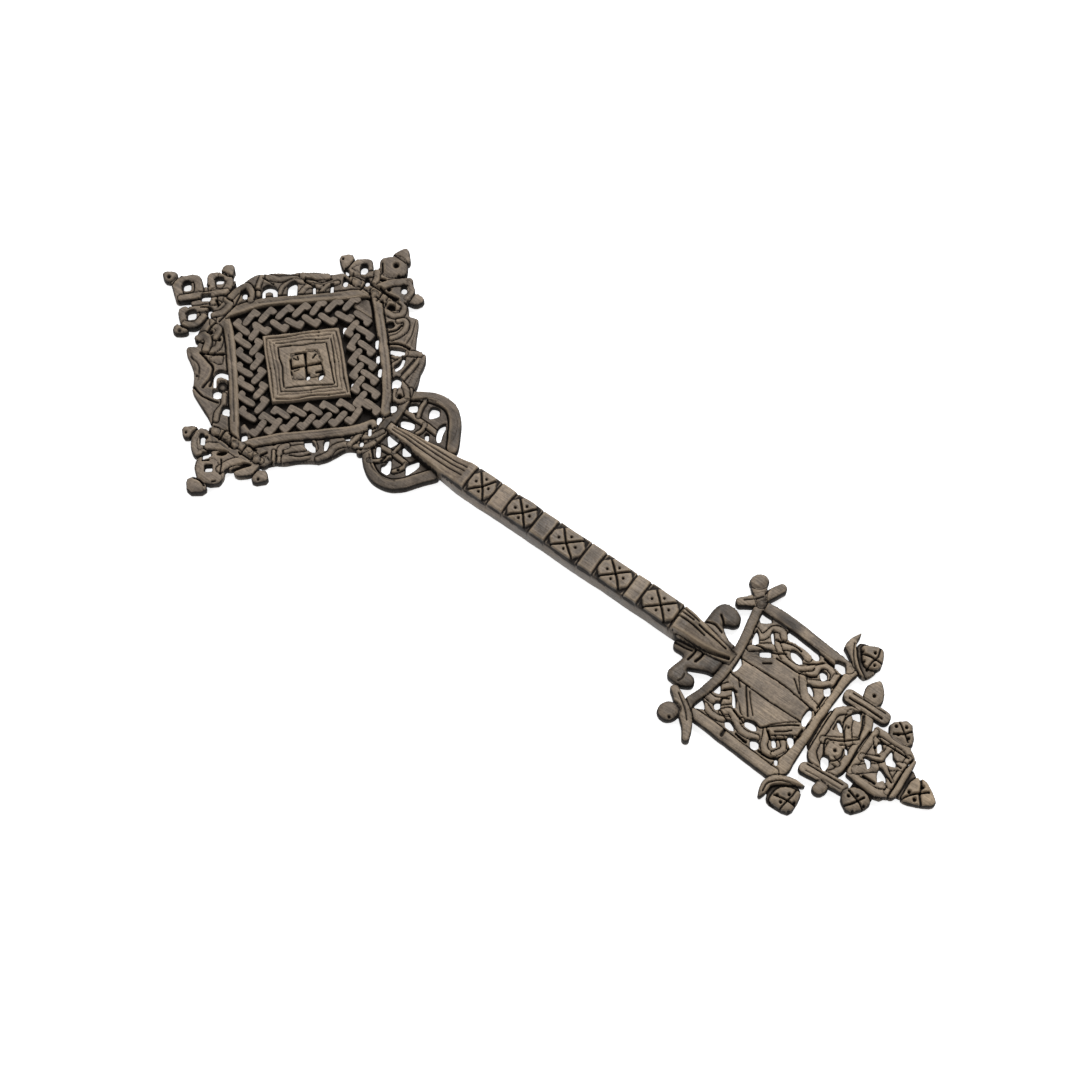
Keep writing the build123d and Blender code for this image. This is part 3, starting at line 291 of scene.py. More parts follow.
def diamond(centre, halfX, halfY):
    return [(centre[0], centre[1] + halfY), (centre[0] + halfX, centre[1]),
            (centre[0], centre[1] - halfY), (centre[0] - halfX, centre[1])]


# ---- the head
headCut = {
    "centre": (0.0, 124.95),
    "bar": 4.3, "barTop": 5.6,
    "panelTop": 5.3,
    "fieldFloor": 2.3,
    "petalTop": 4.9, "petalGrow": 1.16,
    "braidFloor": 1.5,
    "border": 4.7, "ribbon": 5.1,
}


def carveBorders(cut):
    low, high = cut["border"], cut["ribbon"]
    # upper left
    plate(seen((-47, 137.5), (-43.7, 142.4), (-41.4, 147.4), (-38.3, 154), (-36.4, 157.4), (-34.6, 157.2), (-30.6, 161), (-27.9, 164.9),
               (-26.2, 168.2), (-22.5, 171), (-20.4, 169), (-19.6, 167.2), (-17, 168.4), (-8, 166.5), (-3, 163), (-22.9, 143), (-42, 127), (-47, 131)), low, walled=True)
    plate(seen((-25.2, 165.6), (-22.5, 170.4), (-20.6, 168.4), (-21.6, 163), (-23.4, 158), (-25.6, 156), (-31.5, 154.6), (-34, 156.4), (-30, 160.2)), high, walled=True)
    groove(seen((-21, 164), (-22.2, 158.8), (-23.8, 155.4), (-28, 153.8), (-33, 153.6)), 1.4, 2.3)
    groove(seen((-24.8, 166.4), (-26.4, 161), (-31.4, 157.4)), 1.2, 0.7)
    plate(seen((-37.2, 156.4), (-35.4, 156.4), (-34.6, 153), (-36.6, 148), (-39, 143), (-42.4, 142.4), (-40.6, 148)), high)
    groove(seen((-35.2, 156.6), (-36.4, 151.6), (-35.9, 148), (-35, 144)), 1.2, 1.9)
    strap(seen((-41.8, 139.6), (-38.6, 141.2), (-34.6, 141.4), (-30.6, 144)), 2.4, high + 0.2)
    groove(seen((-30.6, 151.6), (-26.8, 153), (-23.4, 151.8), (-21.6, 148.6)), 1.7, 3.2)
    groove(seen((-20.8, 164.4), (-18.6, 160), (-15.6, 156.1)), 1.5, 2.6)
    strap(seen((-17.8, 161.4), (-14.2, 160.3), (-10.6, 162)), 2.8, high)
    dome(seen((-21.4, 160.4), (-17.4, 157.6), (-16.4, 155.4), (-20.6, 153.4)), high, crown=0.7, cuts=1, moat=0.6)
    knob(seen((-27.7, 147.2))[0], 2.6, 3.3, crown=1.2)
    pierce(seen((-34.3, 147.6), (-33, 148.4), (-31, 147.4), (-30.8, 145.2), (-32, 144.4), (-33.8, 145.2)))
    pierceLine(seen((-29.6, 150), (-26.8, 151.8), (-24.4, 151), (-23.1, 147.8)), 1.5)
    pierce(seen((-38.4, 139.8), (-35.8, 140), (-34.8, 137), (-37.4, 136.4)))
    pit(seen((-30.6, 158.9))[0], 0.7, 1.2)
    # upper right
    plate(seen((3, 163.5), (9, 166.5), (14.5, 170.4), (19.5, 169.2), (22.8, 168), (25.3, 165), (29.2, 160.1), (31.8, 155.8), (34.8, 153.6),
               (38.3, 148.6), (40.6, 144.8), (41.8, 141.4), (44.2, 139.4), (46, 136.6), (47, 131), (43, 126), (24, 143)), low)
    plate(seen((15.6, 170), (19.6, 168.8), (22.6, 167.4), (24.6, 164.4), (23.4, 159.2), (21, 163.2), (16.2, 165.8)), high)
    strap(seen((15.3, 161.4), (18.2, 163.8), (23.2, 165.6)), 2.2, high + 0.3)
    groove(seen((22.7, 164.7), (23.4, 159.3)), 0.9, 1.2)
    strap(seen((24.6, 163.2), (26.6, 158.6), (29.8, 155), (32.4, 150.6)), 2.6, high)
    strap(seen((20.8, 154.4), (24.8, 155.4), (29.4, 153.4), (31.6, 149.6)), 1.9, high)
    strap(seen((34.2, 151.6), (36.4, 147.4), (39.8, 143)), 3.2, high + 0.1)
    groove(seen((33.6, 149.9), (34.9, 147.4), (36.1, 143.2), (39.9, 140.5)), 0.9, 1.4)
    strap(seen((26.4, 147.2), (31.4, 146.6), (34.4, 141.8)), 2.2, high)
    strap(seen((32.4, 140.4), (36.4, 140.2), (40.2, 137.4)), 2.0, high)
    groove(seen((43.6, 136.4), (43.1, 133.6), (43.4, 131)), 1.5, 2.8)
    groove(seen((45.5, 136.6), (45.4, 133.8), (45.7, 131.4)), 1.1, 2.2)
    groove(seen((32.6, 149.6), (32.7, 145.2)), 1.2, 2.4)
    groove(seen((16.4, 163.8), (17.4, 162.4)), 1.3, 2.4)
    pierceLine(seen((16.2, 159.2), (17.6, 160.2), (19.6, 159.4), (20.6, 157.4), (19.8, 155.4), (18.2, 154.9)), 1.5)
    pierce(seen((21.8, 150.3), (24.2, 153), (26.5, 153), (29, 151.4), (27, 149.1), (24.3, 147.7)))
    pierceLine(seen((30.2, 142.4), (31.6, 143.6)), 1.2)
    pierceLine(seen((34.4, 136.4), (36.4, 137.8)), 1.6)
    pierceDot(seen((41.3, 134.2))[0], 1.15)
    # lower right
    plate(seen((18.3, 79.6), (25, 81.6), (30, 84.1), (34.6, 85.1), (34.9, 88.9), (34, 91.3), (35, 91.6), (39, 94.2), (46.5, 98.2), (46.1, 100.2),
               (45, 103), (48.4, 105.2), (49, 108), (48.2, 114), (44, 121), (38, 119), (14, 96), (10, 90), (15, 85)), low)
    strap(seen((19.5, 87.4), (26, 86.9), (33.4, 87)), 2.3, high + 0.3)
    groove(seen((21.6, 89), (30.2, 88.9)), 0.9, 1.6)
    strap(seen((19.4, 82.6), (25.2, 83.6), (31, 85), (33.6, 86.6)), 2.6, high - 0.3, moat=0.4, depth=0.7)
    strap(seen((29.6, 94.4), (31.8, 91), (33.4, 88.2)), 2.7, high + 0.1)
    plate(seen((31.4, 95.6), (34.2, 92.4), (39, 94.6), (46, 98.4), (45.4, 100.2), (40, 98.6), (36, 98)), high)
    groove(seen((33.2, 95.6), (38.4, 96.4), (45, 99.2)), 0.8, 0.8)
    groove(seen((34.2, 93.6), (39.6, 95.6), (44.6, 98)), 0.6, 0.5)
    strap(seen((32.4, 102.6), (35, 100.9), (38.4, 100.3), (41.4, 101.2), (42.4, 103.2), (40.6, 105)), 2.3, high + 0.2)
    groove(seen((34.2, 105.2), (36.6, 103.2), (39.8, 102.6)), 1.1, 2.6)
    sink(seen((35.4, 105.4), (38, 104.4), (39.6, 106.6), (37.6, 109), (35, 108.4)), 2.4)
    strap(seen((40.6, 116), (41.2, 111.6), (41.6, 108), (44, 105.9), (47, 107), (48.2, 109.6)), 2.6, high + 0.2)
    strap(seen((23.4, 101.6), (26, 98.6), (26.6, 95.2), (30, 93.4)), 2.0, high)
    strap(seen((14.6, 92.6), (18, 94.4), (22.6, 94.6), (27.4, 93)), 1.9, high)
    groove(seen((28.4, 103.6), (31.2, 99.8), (32.4, 96.8), (32.9, 93.6)), 1.4, 2.6)
    groove(seen((25.4, 99.4), (27, 97), (28.2, 94.6)), 1.1, 2.4)
    strap(seen((13.4, 86.4), (10.6, 84.8), (10.8, 81.6), (14, 80.4)), 1.9, high)
    pierceLine(seen((21.6, 92), (24, 91.4), (26.6, 92)), 1.3)
    pierceLine(seen((27.2, 98.7), (28.4, 96.4), (29.5, 94)), 1.2)
    pit(seen((44.2, 110.6))[0], 1.5, 3.4)
    pit(seen((43.9, 116.4))[0], 1.1, 2.8)
    # lower left
    plate(seen((-49, 111.4), (-46.6, 108.2), (-43.9, 106), (-42.4, 102.9), (-38, 98.9), (-35.3, 95.6), (-33.1, 92), (-30.2, 89.5), (-25.9, 87.6),
               (-21.6, 85.9), (-19.8, 83.3), (-18.7, 80.7), (-19.8, 79), (-14, 84), (-10, 90), (-14.5, 93), (-40, 121), (-46, 120)), low, walled=True)
    plate(seen((-42.6, 105.6), (-38, 99.6), (-33.4, 94.8), (-30.4, 95.6), (-32.4, 99), (-37, 105.2), (-40, 107)), high, walled=True)
    groove(seen((-36.5, 104.5), (-34.4, 100.6), (-30.6, 97.7)), 0.9, 1.4)
    groove(seen((-40.6, 104.6), (-36.4, 99.8), (-32.6, 96.4)), 0.7, 0.6)
    strap(seen((-35.4, 107), (-32.8, 104.4), (-30, 101.6)), 3.0, high + 0.2)
    strap(seen((-42.8, 108.2), (-40.8, 109.4), (-38.6, 111)), 1.5, high + 0.3)
    strap(seen((-41.4, 106.4), (-39.4, 107.7), (-37.2, 109.2)), 1.5, high + 0.3)
    knob(seen((-45, 111.6))[0], 2.4, high)
    strap(seen((-38.2, 108.6), (-35.8, 109.4), (-33.6, 108)), 2.6, high)
    groove(seen((-45, 108.9), (-43, 108.4)), 1.0, 2.6)
    pit(seen((-35.9, 113.2))[0], 1.1, 2.8)
    groove(seen((-43.2, 114.2), (-41, 113)), 1.3, 2.8)
    strap(seen((-30.6, 93.8), (-26.4, 91.6), (-22.6, 91.4), (-19, 89), (-17.2, 86)), 2.6, high + 0.1)
    groove(seen((-28.6, 90.4), (-24.6, 89), (-20.6, 87.4)), 0.8, 1.0)
    strap(seen((-27.2, 97.6), (-25.4, 99.8), (-24.4, 102.4)), 2.0, high)
    pierce(seen((-29.9, 101.4), (-28.6, 103), (-26.4, 102.4), (-26.2, 100.6), (-27.4, 99.6), (-27.4, 97.6), (-28.6, 96.5), (-29.7, 98)), cuts=1)
    pierce(seen((-26.1, 94.2), (-23.8, 95.8), (-22.2, 96), (-21.4, 94.6), (-23.4, 93.6), (-25.4, 93.2)))
    pierce(seen((-17.4, 89.8), (-16.2, 91.4), (-14.6, 89.6), (-15.8, 87.9)))


def carveFrame(cut):
    ring = seen((-45.5, 125), (-39.5, 131.3), (-22.9, 144.9), (-7.5, 159.2), (-1.2, 167), (13.8, 157.4), (24.5, 145.1), (34.9, 133.2), (45.6, 122),
                (40, 115.4), (30, 105.7), (20, 96.4), (10, 87.9), (3, 83.6), (-2.6, 82.4), (-8.6, 87), (-14.5, 92.9), (-26.3, 106.1), (-39.5, 119.3))
    plate(ring, cut["braidFloor"], cuts=0)
    bars = {                               # centre lines as they really run, none quite straight
        "upperLeft": seen((-45.5, 126), (-39.5, 131.3), (-22.9, 144.9), (-7.5, 159.2), (-1.2, 166.4)),
        "lowerLeft": seen((-45.4, 124.6), (-39.5, 119.3), (-32, 112.5), (-26.3, 106.1), (-14.5, 92.9), (-8.8, 87.9), (-4.4, 84.9)),
        "upperRight": seen((-0.6, 167.6), (13.8, 157.4), (24.5, 145.1), (34.9, 133.2), (44, 123.4)),
        "lowerRight": seen((3.2, 84), (10, 88.2), (20, 96.4), (30, 105.7), (40, 115.4), (45.4, 121)),
    }
    for name in ("upperLeft", "lowerLeft", "upperRight", "lowerRight"):
        strap(bars[name], cut["bar"], cut["barTop"], crown=0.5, moat=0.9, depth=1.8)
    groove(seen((-38, 132.8), (-22.6, 145.6), (-7.6, 159.8)), 0.8, 0.6)
    groove(seen((-38.6, 119), (-31.6, 112.6), (-26, 106.4), (-14.4, 93.4)), 0.7, 0.45)
    groove(seen((12, 158.6), (24.6, 145.4), (36, 132.2)), 0.7, 0.4)
    groove(seen((12, 89.4), (20.2, 96.2), (38, 113.2)), 0.7, 0.4)
    pierce(seen((15.8, 96.5), (16.3, 98), (17.6, 98.2), (18.3, 97.4), (17.2, 96)))
    pierce(seen((20.3, 100.9), (20.7, 102.3), (22, 102.5), (22.7, 101.7), (21.5, 100.6)))
    pierce(seen((25.9, 105.1), (26.2, 106.7), (27.4, 107.3), (28.4, 106.6), (27.3, 105.2)))
    plate(seen((34.2, 125), (37.6, 127.4), (43.4, 122.6), (38.8, 117), (34.8, 114)), 3.4, cuts=1, bevel=1.4, grow=False)
    plate(seen((-43, 126.4), (-38.6, 131), (-34.6, 129.8), (-35.8, 126.4), (-36.4, 123.4), (-40, 121.2)), 3.5, cuts=1, bevel=1.4, grow=False)
    pierceDot(seen((23.9, 121.2))[0], 0.9)
    pierceDot(seen((5, 102.4))[0], 0.9)


def carvePanel(cut):
    corners = seen((0.7, 148.2), (23.6, 123.8), (0.8, 99.8), (-22, 125.2))
    plate(corners, cut["panelTop"], cuts=0, bevel=0.7)
    middle = np.mean(corners, 0)
    draw = np.random.RandomState(17)
    for share, width, depth in ((0.9, 0.9, 1.1), (0.8, 0.7, 0.7), (0.71, 0.8, 0.8), (0.61, 0.9, 1.1)):
        ring = [middle + (np.array(p) - middle) * share for p in corners]
        for a, b in zip(ring, ring[1:] + ring[:1]):
            line = [tuple(a + (b - a) * t + draw.uniform(-0.35, 0.35, 2)) for t in (0.02, 0.25, 0.5, 0.75, 0.98)]
            split = draw.randint(1, 4)     # each line is cut in two strokes that do not quite meet
            groove(line[:split + 1], width, depth * draw.uniform(0.7, 1.15))
            groove(line[split:], width * draw.uniform(0.8, 1.2), depth * draw.uniform(0.6, 1.1))
    field = seen((0.6, 133.6), (9.6, 124.4), (1.2, 114.6), (-8.6, 124.6))
    sink(field, cut["fieldFloor"], cuts=1)
    petals = {
        "top": seen((0.9, 132), (4.6, 128.6), (0.9, 125), (-3.4, 128.4)),
        "left": seen((-4.4, 128), (-0.2, 124.6), (-4.2, 120.4), (-7.4, 124.4)),
        "right": seen((6.2, 128.2), (8.8, 124.8), (6.2, 120.6), (1.6, 124.6)),
        "bottom": seen((0.8, 123.8), (4.8, 119.8), (1.6, 115.6), (-2.8, 119.6)),
    }
    for name, points in petals.items():
        core = np.mean(points, 0)
        dome([tuple(core + (np.array(p) - core) * cut["petalGrow"]) for p in points], cut["petalTop"], crown=0.9, cuts=0, moat=0.4)
    groove(seen((0.4, 130.6), (0.9, 128.6), (2, 130)), 0.7, 1.5)
    groove(seen((-4.2, 126.8), (-2.6, 125.8)), 0.9, 1.5)
    groove(seen((5.2, 124.3), (7.2, 124.4)), 1.0, 2.0)
    groove(seen((0.6, 118.8), (2.8, 117.4)), 1.2, 2.0)
    groove(seen((-3.6, 129), (5, 119.9)), 0.9, 1.8)
    groove(seen((-3.2, 120.4), (4.8, 128.6)), 0.9, 1.8)
    pierceDot(seen((-3.6, 119.9))[0], 0.8)
    pierce(seen((-2, 115.6), (-0.4, 116.8), (1.2, 116), (1.4, 115.2), (-0.4, 114.8)))


def carveCollars(cut):
    plate(seen((-17.2, 166.4), (-10, 164.4), (-6, 163.2), (-2, 165.4), (3, 167.4), (9, 164.6), (15.2, 165.8), (16.6, 170.4), (8, 171.6), (0, 171.8), (-10, 171.4), (-17.4, 170.6)), 5.3)
    strap(seen((-16, 169.6), (-13.4, 168), (-14.6, 165.2), (-18.4, 163.6)), 3.2, 5.6)
    strap(seen((-4.6, 170.2), (-7.4, 168), (-7.6, 164.6), (-11.6, 163.6)), 2.6, 5.5)
    strap(seen((-3.4, 171), (-0.4, 168.6), (4.4, 168.4), (5.4, 171)), 2.8, 5.6)
    strap(seen((7.4, 170.4), (12, 169.8), (15.6, 168), (14.6, 164.6), (11.4, 162.6)), 3.0, 5.6)
    groove(seen((-11.6, 167.8), (-9, 168), (-6.2, 167.7)), 1.2, 2.4)
    groove(seen((-4.6, 166.8), (0, 166.6), (5, 166.4), (9.6, 167.2), (12.4, 168)), 1.0, 2.2)
    groove(seen((-5.2, 171.4), (-5.3, 168.4)), 0.8, 1.2)
    groove(seen((5.9, 171.4), (6.2, 168.6)), 0.9, 1.4)
    groove(seen((12.8, 167.6), (13.4, 165.8), (12.2, 164)), 1.0, 2.0)
    groove(seen((-17.3, 168.8), (-16.6, 166.6)), 0.9, 1.6)
    pierceDot(seen((11.2, 165.6))[0], 1.1)
    pit(seen((-10.9, 166.6))[0], 1.3, 3.0)
    pit(seen((-11.4, 161.8))[0], 1.1, 2.6)
    plate(seen((-50, 139.4), (-44, 139.4), (-43.4, 112), (-50, 111.6)), 4.5)
    plate(seen((43.4, 134), (49, 134.4), (49.4, 109.6), (43.4, 109.6)), 4.5)
    for x, top, bottom, lean in ((-45.4, 138.4, 112.6, 0.6), (45.6, 133.4, 109.2, 0.4)):
        strap(seen((x - lean, top), (x + lean, (top + bottom) / 2 + 4), (x, bottom)), (2.6, 3.4, 2.8), 5.4, moat=0.5)
        for k in range(5):                 # knots of the collar, one above the other
            y = bottom + 2.4 + (top - bottom - 4.8) * k / 4
            y += 0.7 * math.sin(7.3 * k + x)
            knob((x + readShift[0] + (0.9 if k % 2 else -0.7), y), 1.75 + 0.25 * math.sin(5.1 * k), 5.4, crown=1.1, moat=0.6)
            groove([(x - 1.9, y + 1.5), (x + 2.8, y + 3.6 - 1.9 * (k % 2))], 0.9, 1.1 + 0.8 * (k % 2))
    groove(seen((-47.7, 135), (-47.4, 130), (-47.7, 126.4)), 1.2, 2.6)
    groove(seen((-47.7, 122.6), (-47.6, 117)), 1.1, 2.4)
    groove(seen((-43.4, 131), (-43.2, 127.4)), 1.0, 2.4)
    groove(seen((-43, 121), (-42.8, 117.4)), 1.0, 2.4)
    groove(seen((47.8, 125.4), (47.8, 119), (48, 112)), 1.1, 2.4)
    pierce(seen((-42.9, 125.4), (-41.6, 126), (-40.2, 124.4), (-41.2, 123), (-42.6, 123.6)))
    pierceDot(seen((46.9, 126.4))[0], 1.05)
    sink(seen((42.8, 113.6), (45.4, 113.2), (46, 110.6), (44.2, 109), (42.6, 110.8)), 1.5)
    sink(seen((42.9, 117.6), (44.8, 117.2), (44.6, 115.4), (43, 115.6)), 1.8)
    groove(seen((48.9, 120.6), (48.3, 116), (48.9, 111.6)), 1.2, 2.4)
    pierceLine(seen((46, 137.4), (46.1, 136)), 0.6)


def carveTopFinial():
    plate(seen((-3, 195.6), (-7.9, 188), (-3.2, 182.4), (0, 180.6), (3.6, 183.6), (7.4, 188), (2, 195.6)), 4.9, cuts=1, walled=True)      # outer lozenge
    plate(seen((-16.2, 178.4), (-10.2, 185.2), (-5.4, 181), (-4.6, 173), (-13.4, 172), (-15.4, 175.4)), 4.9, cuts=1, walled=True)
    plate(seen((5, 181.6), (10.4, 185.4), (15.4, 180.6), (16, 175), (13.6, 172), (5, 172)), 4.9, cuts=1)
    plate(seen((-6.6, 171), (-6.6, 182), (0, 184.4), (6.4, 182.6), (7, 171)), 4.7)
    dome(seen((-1.6, 201.4), (0.8, 201.4), (3.4, 197.9), (2.4, 194.6), (-3.4, 194.6), (-4.5, 197.4)), 5.3, cuts=1, walled=True)
    dome(seen((-22.2, 178.7), (-18.2, 182), (-15, 181), (-14.4, 176.2), (-17.4, 173.7), (-19.2, 174.4)), 5.3, cuts=1, walled=True)
    dome(seen((14.6, 181.6), (18.2, 182.6), (21, 179.2), (17.8, 176), (15.4, 174.2), (14, 177)), 5.3, cuts=1)
    strap(seen((-7, 172.6), (-3.6, 177), (-0.6, 173.4), (-1.6, 170)), 2.6, 5.1)
    strap(seen((3.6, 177), (4.8, 173.4), (4.6, 170)), 2.8, 5.1)
    strap(seen((-14.2, 178.4), (-10.2, 183), (-6.6, 179.6), (-2.6, 175.4)), 3.2, 5.4, moat=0.6)
    strap(seen((-14.2, 178), (-11.6, 174.4), (-6.6, 173.8)), 3.0, 5.4, moat=0.6)
    strap(seen((13.6, 180), (10.4, 183.2), (6.4, 179.6), (1.4, 175)), 3.2, 5.4, moat=0.6)
    strap(seen((13.6, 179.6), (13.4, 175.4), (8, 174.4), (5.4, 177.6)), 3.0, 5.3, moat=0.6)
    strap(seen((-6, 187.9), (-0.8, 192.8), (5.8, 187.8), (0.2, 182.8), (-6, 187.9)), 3.7, 5.5, moat=0.6)
    strap(seen((-5.6, 187.2), (-0.6, 182.6), (5, 176.6), (8.4, 173.2)), 2.9, 5.7, moat=0.7)
    groove(seen((-3.6, 194.8), (2.4, 194.9)), 0.9, 1.8)
    groove(seen((-15.4, 180.4), (-15.2, 175.8)), 1.0, 1.8)
    groove(seen((14.6, 181), (14.8, 177.4), (16.4, 175.4)), 1.0, 1.8)
    groove(seen((-14.4, 172.4), (-10, 172.2), (-5.6, 172.4)), 1.1, 2.4)
    groove(seen((7.4, 172.2), (12, 172.4), (15.2, 172.4)), 1.1, 2.4)
    groove(seen((2.4, 174.4), (1.6, 172), (2.6, 170.6)), 1.3, 2.4)
    groove(seen((-3.8, 177.6), (-1.6, 174.8)), 1.0, 2.2)
    groove(seen((-7.6, 181.6), (-6, 183.6)), 0.9, 1.6)
    groove(seen((6.4, 181.2), (5, 183.2)), 0.9, 1.6)
    pierce(seen((-2.3, 188.7), (-0.6, 190.4), (2, 188.3), (0.1, 186)), cuts=1)
    pierce(seen((-12.1, 178.5), (-10.4, 180.2), (-7.4, 177.6), (-9.2, 175.6)), cuts=1)
    pierce(seen((8.6, 179.4), (10, 180.2), (12, 177.4), (10.6, 176.8)), cuts=1)
    pierce(seen((-1.5, 179.8), (0.2, 180.3), (2.5, 177.2), (1, 176.5)), cuts=1)
    pierceLine(seen((15, 174.4), (16.2, 174.9)), 1.0)
    pierceDot(seen((-3.9, 172.6))[0], 1.1)
    pit(seen((-0.5, 198))[0], 1.1, 2.2)
    pit(seen((-18, 178.2))[0], 1.2, 1.2)


def carveLeftFinial():
    plate(seen((-55.2, 142.6), (-60, 136.6), (-58, 133.5), (-53, 131), (-49, 134), (-46.9, 139.6), (-49.4, 143.6)), 5.0, walled=True)
    plate(seen((-67.6, 131), (-61, 135.3), (-57.5, 133.8), (-52.5, 128), (-56.5, 122.4), (-58.5, 121.6), (-63.3, 118.6), (-68.2, 124.2)), 5.0, walled=True)
    plate(seen((-57, 131.5), (-51, 133), (-46.5, 131), (-46.5, 117), (-53, 117), (-58, 122)), 4.9)
    plate(seen((-59.5, 115.9), (-55, 120.4), (-47, 120), (-46.6, 114.5), (-48.2, 110.6), (-54, 109.8)), 5.0, walled=True)
    dome(seen((-52.7, 150), (-57.8, 144.8), (-55.6, 142), (-49.8, 141.8), (-48.4, 145)), 5.3, cuts=1, walled=True)
    dome(seen((-70.6, 133.4), (-76.6, 127.6), (-71.8, 121.2), (-67, 124.4), (-66.8, 131)), 5.3, cuts=1, walled=True)
    dome(seen((-57.2, 107.8), (-52.3, 102.8), (-47.2, 107.8), (-49.6, 111.4), (-54.8, 111.2)), 5.3, cuts=1, walled=True)
    strap(seen((-50.4, 142), (-54.6, 141.2), (-58.6, 136.8), (-56, 134.4)), 2.6, 5.3, moat=0.4, depth=0.6)
    strap(seen((-49.2, 141.6), (-50.4, 136.4), (-53.8, 134.2)), 2.4, 5.3, moat=0.4, depth=0.6)
    strap(seen((-53.4, 134.6), (-50.6, 130.6), (-48.6, 126.4), (-48.6, 122.8)), 3.4, 5.7)
    dome(seen((-67.2, 130.6), (-61, 134.6), (-58.4, 133), (-56, 128.4), (-58.6, 123.4), (-63.2, 119.6), (-67.6, 124.4)), 5.3, crown=0.8, cuts=1, moat=0.3)
    strap(seen((-58.6, 124), (-54, 122.4), (-48.4, 117.6)), 3.4, 5.7)
    groove(seen((-55.5, 143.3), (-52.6, 143.9), (-49.9, 143.7)), 0.9, 1.8)
    groove(seen((-68, 130.8), (-67.6, 127.8), (-68.4, 125)), 1.0, 2.0)
    groove(seen((-53.6, 111.3), (-50.6, 111.4), (-48.2, 111.2)), 0.9, 1.8)
    sink(seen((-54.8, 129.8), (-52.6, 130), (-50.4, 127.4), (-51, 125.9), (-53.4, 127)), 1.3)
    groove(seen((-60.2, 135.6), (-57.8, 134), (-55.8, 131.4)), 1.3, 2.6)
    groove(seen((-59.6, 132.6), (-58.2, 130.8)), 1.4, 2.6)
    pierceLine(seen((-58.6, 133.2), (-57, 131.9)), 1.1)
    groove(seen((-60.4, 122.8), (-57.6, 124.4), (-55, 126.4)), 0.9, 1.6)
    groove(seen((-55.6, 119.2), (-51.8, 117), (-49.6, 115.4)), 2.4, 3.0)
    sink(seen((-48.8, 131.6), (-46.9, 131.8), (-46.7, 127), (-47.9, 127)), 1.8)
    groove(seen((-51.9, 139.4), (-50.6, 137.6)), 1.8, 3.0)
    pierceLine(seen((-53.4, 137.5), (-52.6, 138.4)), 2.0)
    pierceLine(seen((-62.6, 128.4), (-61.4, 126.9)), 1.5)
    pit(seen((-53.7, 146.3))[0], 0.8, 1.5)
    pit(seen((-53, 108.2))[0], 0.9, 1.5)
    groove(seen((-65.2, 123.4), (-64.2, 122.4)), 0.8, 1.2)


def carveRightFinial():
    plate(seen((46.4, 138), (46.2, 130), (50, 127.6), (55, 129.8), (57.6, 132.6), (53.6, 138.6), (50.4, 139.6)), 5.0)
    plate(seen((60, 129.6), (54.6, 125.6), (54, 121), (60, 115.2), (66, 118.6), (66, 125)), 5.0)
    plate(seen((46.4, 129.6), (55, 129), (57.8, 124), (56.6, 118), (53, 113), (46.6, 112)), 4.9)
    plate(seen((47.6, 116), (54, 117), (60, 112.9), (55.8, 107), (50, 106.6), (48.4, 109)), 5.0)
    dome(seen((50.4, 145), (46.2, 139.6), (47.2, 137.4), (53.4, 137.4), (55.4, 141.2)), 5.3, cuts=1)
    dome(seen((65, 126.8), (71, 124.2), (70.8, 121.6), (66.4, 117.2), (63.4, 119.4), (63.2, 125)), 5.3, cuts=1)
    dome(seen((48.6, 106.4), (49.4, 102.4), (53, 100.4), (56.5, 102.8), (56.3, 107.4), (52, 108.6)), 5.3, cuts=1, walled=True)
    strap(seen((48.4, 138), (52.6, 136.4), (56, 132.6), (53.6, 130)), 2.6, 5.3, moat=0.4, depth=0.6)
    strap(seen((47.8, 137.6), (48, 133), (48.8, 129.6)), 2.2, 5.3, moat=0.4, depth=0.6)
    strap(seen((49.6, 130.2), (53.4, 126.8), (57.4, 125.6)), 2.8, 5.5)
    dome(seen((60.2, 130), (55.6, 126.6), (54.4, 121.8), (58, 117.2), (60.4, 115.1), (65, 118), (66.4, 122), (64.4, 126.4)), 5.4, crown=1.0, cuts=2, moat=0.5)
    strap(seen((47.4, 124.4), (50.6, 124.6), (54.2, 126.6)), 2.6, 5.5)
    strap(seen((49, 121.4), (53.4, 118.4), (56.4, 115), (58.6, 112.6)), 3.6, 5.7)
    strap(seen((58.2, 112.4), (55.6, 108.8), (51.4, 108.8)), 2.4, 5.2, moat=0.4, depth=0.6)
    groove(seen((47.6, 138.2), (50.6, 138), (53.6, 138.4)), 1.0, 2.0)
    groove(seen((49, 107.9), (51.6, 106.9), (55, 107.4)), 0.8, 1.2)
    groove(seen((65, 125.6), (64.8, 122.6), (64.8, 119)), 0.7, 1.0)
    sink(seen((51.4, 124), (53.2, 123.8), (54, 121.2), (52.6, 120.6), (51.6, 121.8)), 1.4)
    groove(seen((55.6, 124.8), (58.6, 127.2)), 1.0, 1.8)
    pit(seen((57.8, 117.7))[0], 1.0, 2.6)
    pit(seen((50.3, 117.4))[0], 1.1, 2.6)
    pit(seen((61.3, 121.8))[0], 1.7, 3.6)
    pit(seen((60.2, 115.7))[0], 0.7, 2.0)
    pierceDot(seen((51, 131.4))[0], 1.6)
    pierceDot(seen((53.3, 111.6))[0], 1.25)
    pit(seen((50.4, 142.3))[0], 0.8, 1.5)


# ---- neck, lobes and handle
neckCut = {"web": 3.5, "rim": 5.2, "strap": 5.4}


